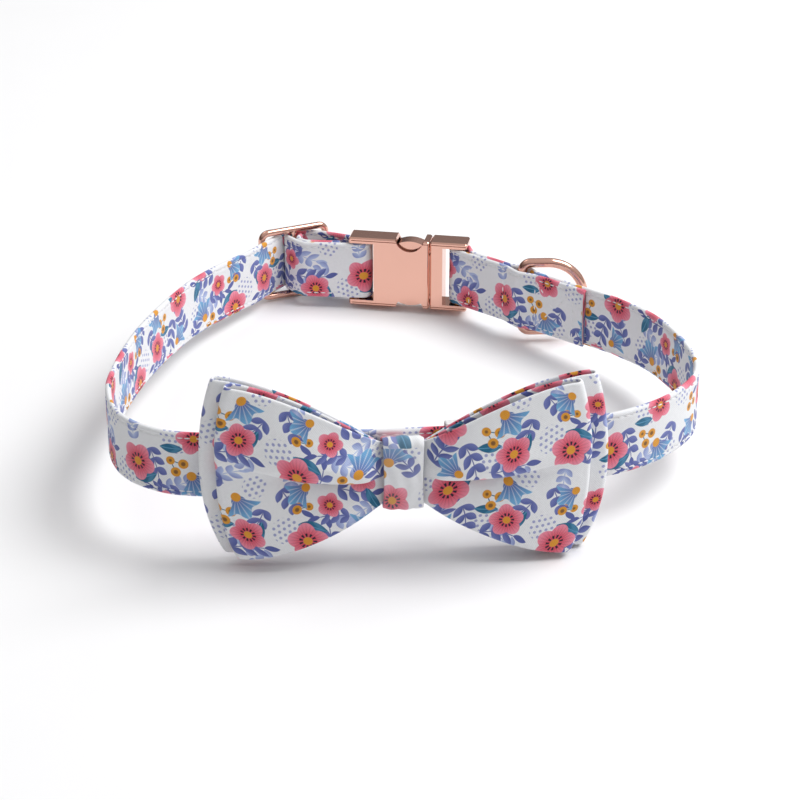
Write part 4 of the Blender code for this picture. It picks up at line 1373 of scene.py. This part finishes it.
def build_knot():
    bow = settings().bow
    top = plain_front_level(1, band_edge()) + bow.cloth / 2
    low = BOW_GAP + bow.cloth / 2
    high = top + BOW_GAP + bow.cloth / 2 + KNOT_PROUD
    half = bow.knot_height / 2 - bow.cloth / 2
    outline = band_outline(low, high, half, 1.7 * bow.cloth, 5, half - KNOT_BACK_LOWER)

    def shape(share, spot, run):
        in_front = smooth_step((spot.x - low) / (high - low))
        waist = 1 - KNOT_WAIST * in_front * (1 - min(1.0, (spot.y / half) ** 2))
        crown = KNOT_CROWN * in_front * (1 - share * share)
        crease = KNOT_CREASE * in_front * math.sin(9.0 * share + 2.4 * math.sin(run * 260))
        return waist, crown + crease

    obj, around = band_mesh("knot_wrap", outline, bow.knot_width, 21, shape)
    thicken(obj, bow.cloth)
    lay_in_part(obj, plan_matrix(bow_frame()) @ Matrix.Translation((0, 0, bow.knot_raise)))
    cloth = printed_cotton("knot_cotton", (6.0, 17.5), KNOT_FADE)
    finish_piece(obj, MAIN_BODY, cloth, ["knot_band"])


def build_elastics():
    bow = settings().bow
    strap = settings().strap
    wall = bow.elastic_thickness
    room = BOW_GAP + wall / 2
    outline = band_outline(-strap.thickness - room, room, strap.width / 2 + room, 0.8 * wall, 4)
    elastic = knitted_elastic()
    for side, name in ((-1, "left"), (1, "right")):
        obj, around = band_mesh(f"elastic_band_{name}", outline, bow.elastic_width, 9)
        thicken(obj, wall)
        near = strap_frame_near(bow_frame().at(side * bow.elastic_from_middle))
        place = near.at(0, -strap.thickness / 2)
        lay_in_part(obj, plan_matrix(PlanFrame(place.x, place.y, near.turn)))
        finish_piece(obj, MAIN_BODY, elastic, [f"elastic_loop_{name}"])
        area = bow.elastic_width * around


# Studio

def build_studio():
    studio = settings().studio
    deselect()
    bpy.ops.mesh.primitive_plane_add(size=FLOOR_SIZE)
    floor = bpy.context.object
    floor.name = "floor"
    material, recipe, feed = new_material("floor_paper", 0.7, specular=0.2)
    grain = recipe.noise(recipe.object_place(), 40.0)
    pale = tuple(studio.floor)
    feed("Base Color", recipe.mix(grain, pale, tuple(0.985 * c for c in pale)))
    floor.data.materials.append(material)
    bpy.context.scene.view_settings.view_transform = "Standard"
    world = bpy.data.worlds.new("studio_light")
    bpy.context.scene.world = world
    world.use_nodes = True
    background = world.node_tree.nodes["Background"]
    background.inputs["Strength"].default_value = studio.sky
    sky = Recipe(world.node_tree)
    side = sky.node("ShaderNodeSeparateXYZ", {}, {0: sky.node("ShaderNodeTexCoord")})
    weave_shade_and_slub_tone = sky.node("ShaderNodeValToRGB", {"stops": SKY_STOPS}, {0: side.out(2) + side * studio.sky_lean})
    sky.tree.links.new(weave_shade_and_slub_tone.socket, background.inputs["Color"])
    for softbox in SOFTBOXES:
        add_light(softbox)
    add_camera()


def add_light(softbox):
    light = bpy.data.lights.new(softbox.name, "AREA")
    light.energy = softbox.power
    light.size = softbox.size
    obj = add_object(softbox.name, light)
    obj.location = softbox.place
    obj.rotation_euler = (LIGHT_AIM - Vector(softbox.place)).to_track_quat("-Z", "Y").to_euler()


def add_camera():
    studio = settings().studio
    rise = math.radians(studio.camera_rise_deg)
    aim = Vector((0, 0, studio.camera_aim))
    eye = aim + Vector((0, -math.cos(rise), math.sin(rise))) * studio.camera_distance
    data = bpy.data.cameras.new("photo_camera")
    data.lens = studio.lens_mm
    data.sensor_width = FILM_MM
    data.clip_start = NEAREST_VIEW
    camera = add_object("photo_camera", data)
    turn = (aim - eye).to_track_quat("-Z", "Y").to_matrix().to_4x4()
    camera.matrix_world = loop_matrix() @ Matrix.Translation(eye) @ turn
    bpy.context.scene.camera = camera


class COLLAR_OT_strap(bpy.types.Operator):
    """Builds the printed strap along its way through the buckle, the slider and the D-ring"""

    bl_idname = "collar.build_strap"
    bl_label = "Build Strap"

    def execute(self, context):
        build_strap()
        return {"FINISHED"}


class COLLAR_OT_stitching(bpy.types.Operator):
    """Sews the strap's edges, its folded ends and the seat of the D-ring"""

    bl_idname = "collar.build_stitching"
    bl_label = "Build Stitching"

    def execute(self, context):
        build_stitching()
        return {"FINISHED"}


class COLLAR_OT_buckle(bpy.types.Operator):
    """Gives the buckle and its release levers their polished metal"""

    bl_idname = "collar.build_buckle"
    bl_label = "Build Buckle"

    def execute(self, context):
        build_buckle()
        return {"FINISHED"}


class COLLAR_OT_slider(bpy.types.Operator):
    """Builds the wire slider with its middle bar"""

    bl_idname = "collar.build_slider"
    bl_label = "Build Slider"

    def execute(self, context):
        build_slider()
        return {"FINISHED"}


class COLLAR_OT_d_ring(bpy.types.Operator):
    """Builds the D-ring on its bar between the two plies"""

    bl_idname = "collar.build_d_ring"
    bl_label = "Build D-Ring"

    def execute(self, context):
        build_d_ring()
        return {"FINISHED"}


class COLLAR_OT_bow(bpy.types.Operator):
    """Builds the bow's back layer and its pleated front layer"""

    bl_idname = "collar.build_bow"
    bl_label = "Build Bow"

    def execute(self, context):
        build_bow_layers()
        return {"FINISHED"}


class COLLAR_OT_knot(bpy.types.Operator):
    """Wraps the band round the bow's middle"""

    bl_idname = "collar.build_knot"
    bl_label = "Build Knot"

    def execute(self, context):
        build_knot()
        return {"FINISHED"}


class COLLAR_OT_elastics(bpy.types.Operator):
    """Builds the two elastic loops that hold the bow on the strap"""

    bl_idname = "collar.build_elastics"
    bl_label = "Build Elastic Loops"

    def execute(self, context):
        build_elastics()
        return {"FINISHED"}


class COLLAR_OT_studio(bpy.types.Operator):
    """Sets the floor, the light and the camera"""

    bl_idname = "collar.build_studio"
    bl_label = "Build Studio"

    def execute(self, context):
        build_studio()
        return {"FINISHED"}


OPERATORS = (
    COLLAR_OT_studio,
    COLLAR_OT_stitching,
    COLLAR_OT_strap,
    COLLAR_OT_buckle,
    COLLAR_OT_slider,
    COLLAR_OT_d_ring,
    COLLAR_OT_bow,
    COLLAR_OT_knot,
    COLLAR_OT_elastics,
)


class VIEW3D_PT_collar(bpy.types.Panel):
    """Sizes, colours and building steps of the collar"""

    bl_label = "Pet Bow Tie Collar"
    bl_space_type = "VIEW_3D"
    bl_region_type = "UI"
    bl_category = "Collar"

    def draw(self, context):
        layout = self.layout
        for group in ("strap", "hardware", "bow", "pattern", "studio"):
            box = layout.box()
            box.label(text=group.title())
            values = getattr(context.scene.collar, group)
            for name in values.bl_rna.properties.keys():
                if name not in ("rna_type", "name"):
                    box.prop(values, name)
        for operator in OPERATORS:
            layout.operator(operator.bl_idname)


CLASSES = (
    StrapSettings,
    HardwareSettings,
    BowSettings,
    PrintSettings,
    StudioSettings,
    CollarSettings,
    *OPERATORS,
    VIEW3D_PT_collar,
)


def register():
    for cls in CLASSES:
        bpy.utils.register_class(cls)
    bpy.types.Scene.collar = bpy.props.PointerProperty(type=CollarSettings)


def unregister():
    del bpy.types.Scene.collar
    for cls in reversed(CLASSES):
        bpy.utils.unregister_class(cls)


def main():
    register()
    for operator in OPERATORS:
        name = operator.bl_idname.split(".")[1]
        getattr(bpy.ops.collar, name)()


if __name__ == "__main__":
    main()
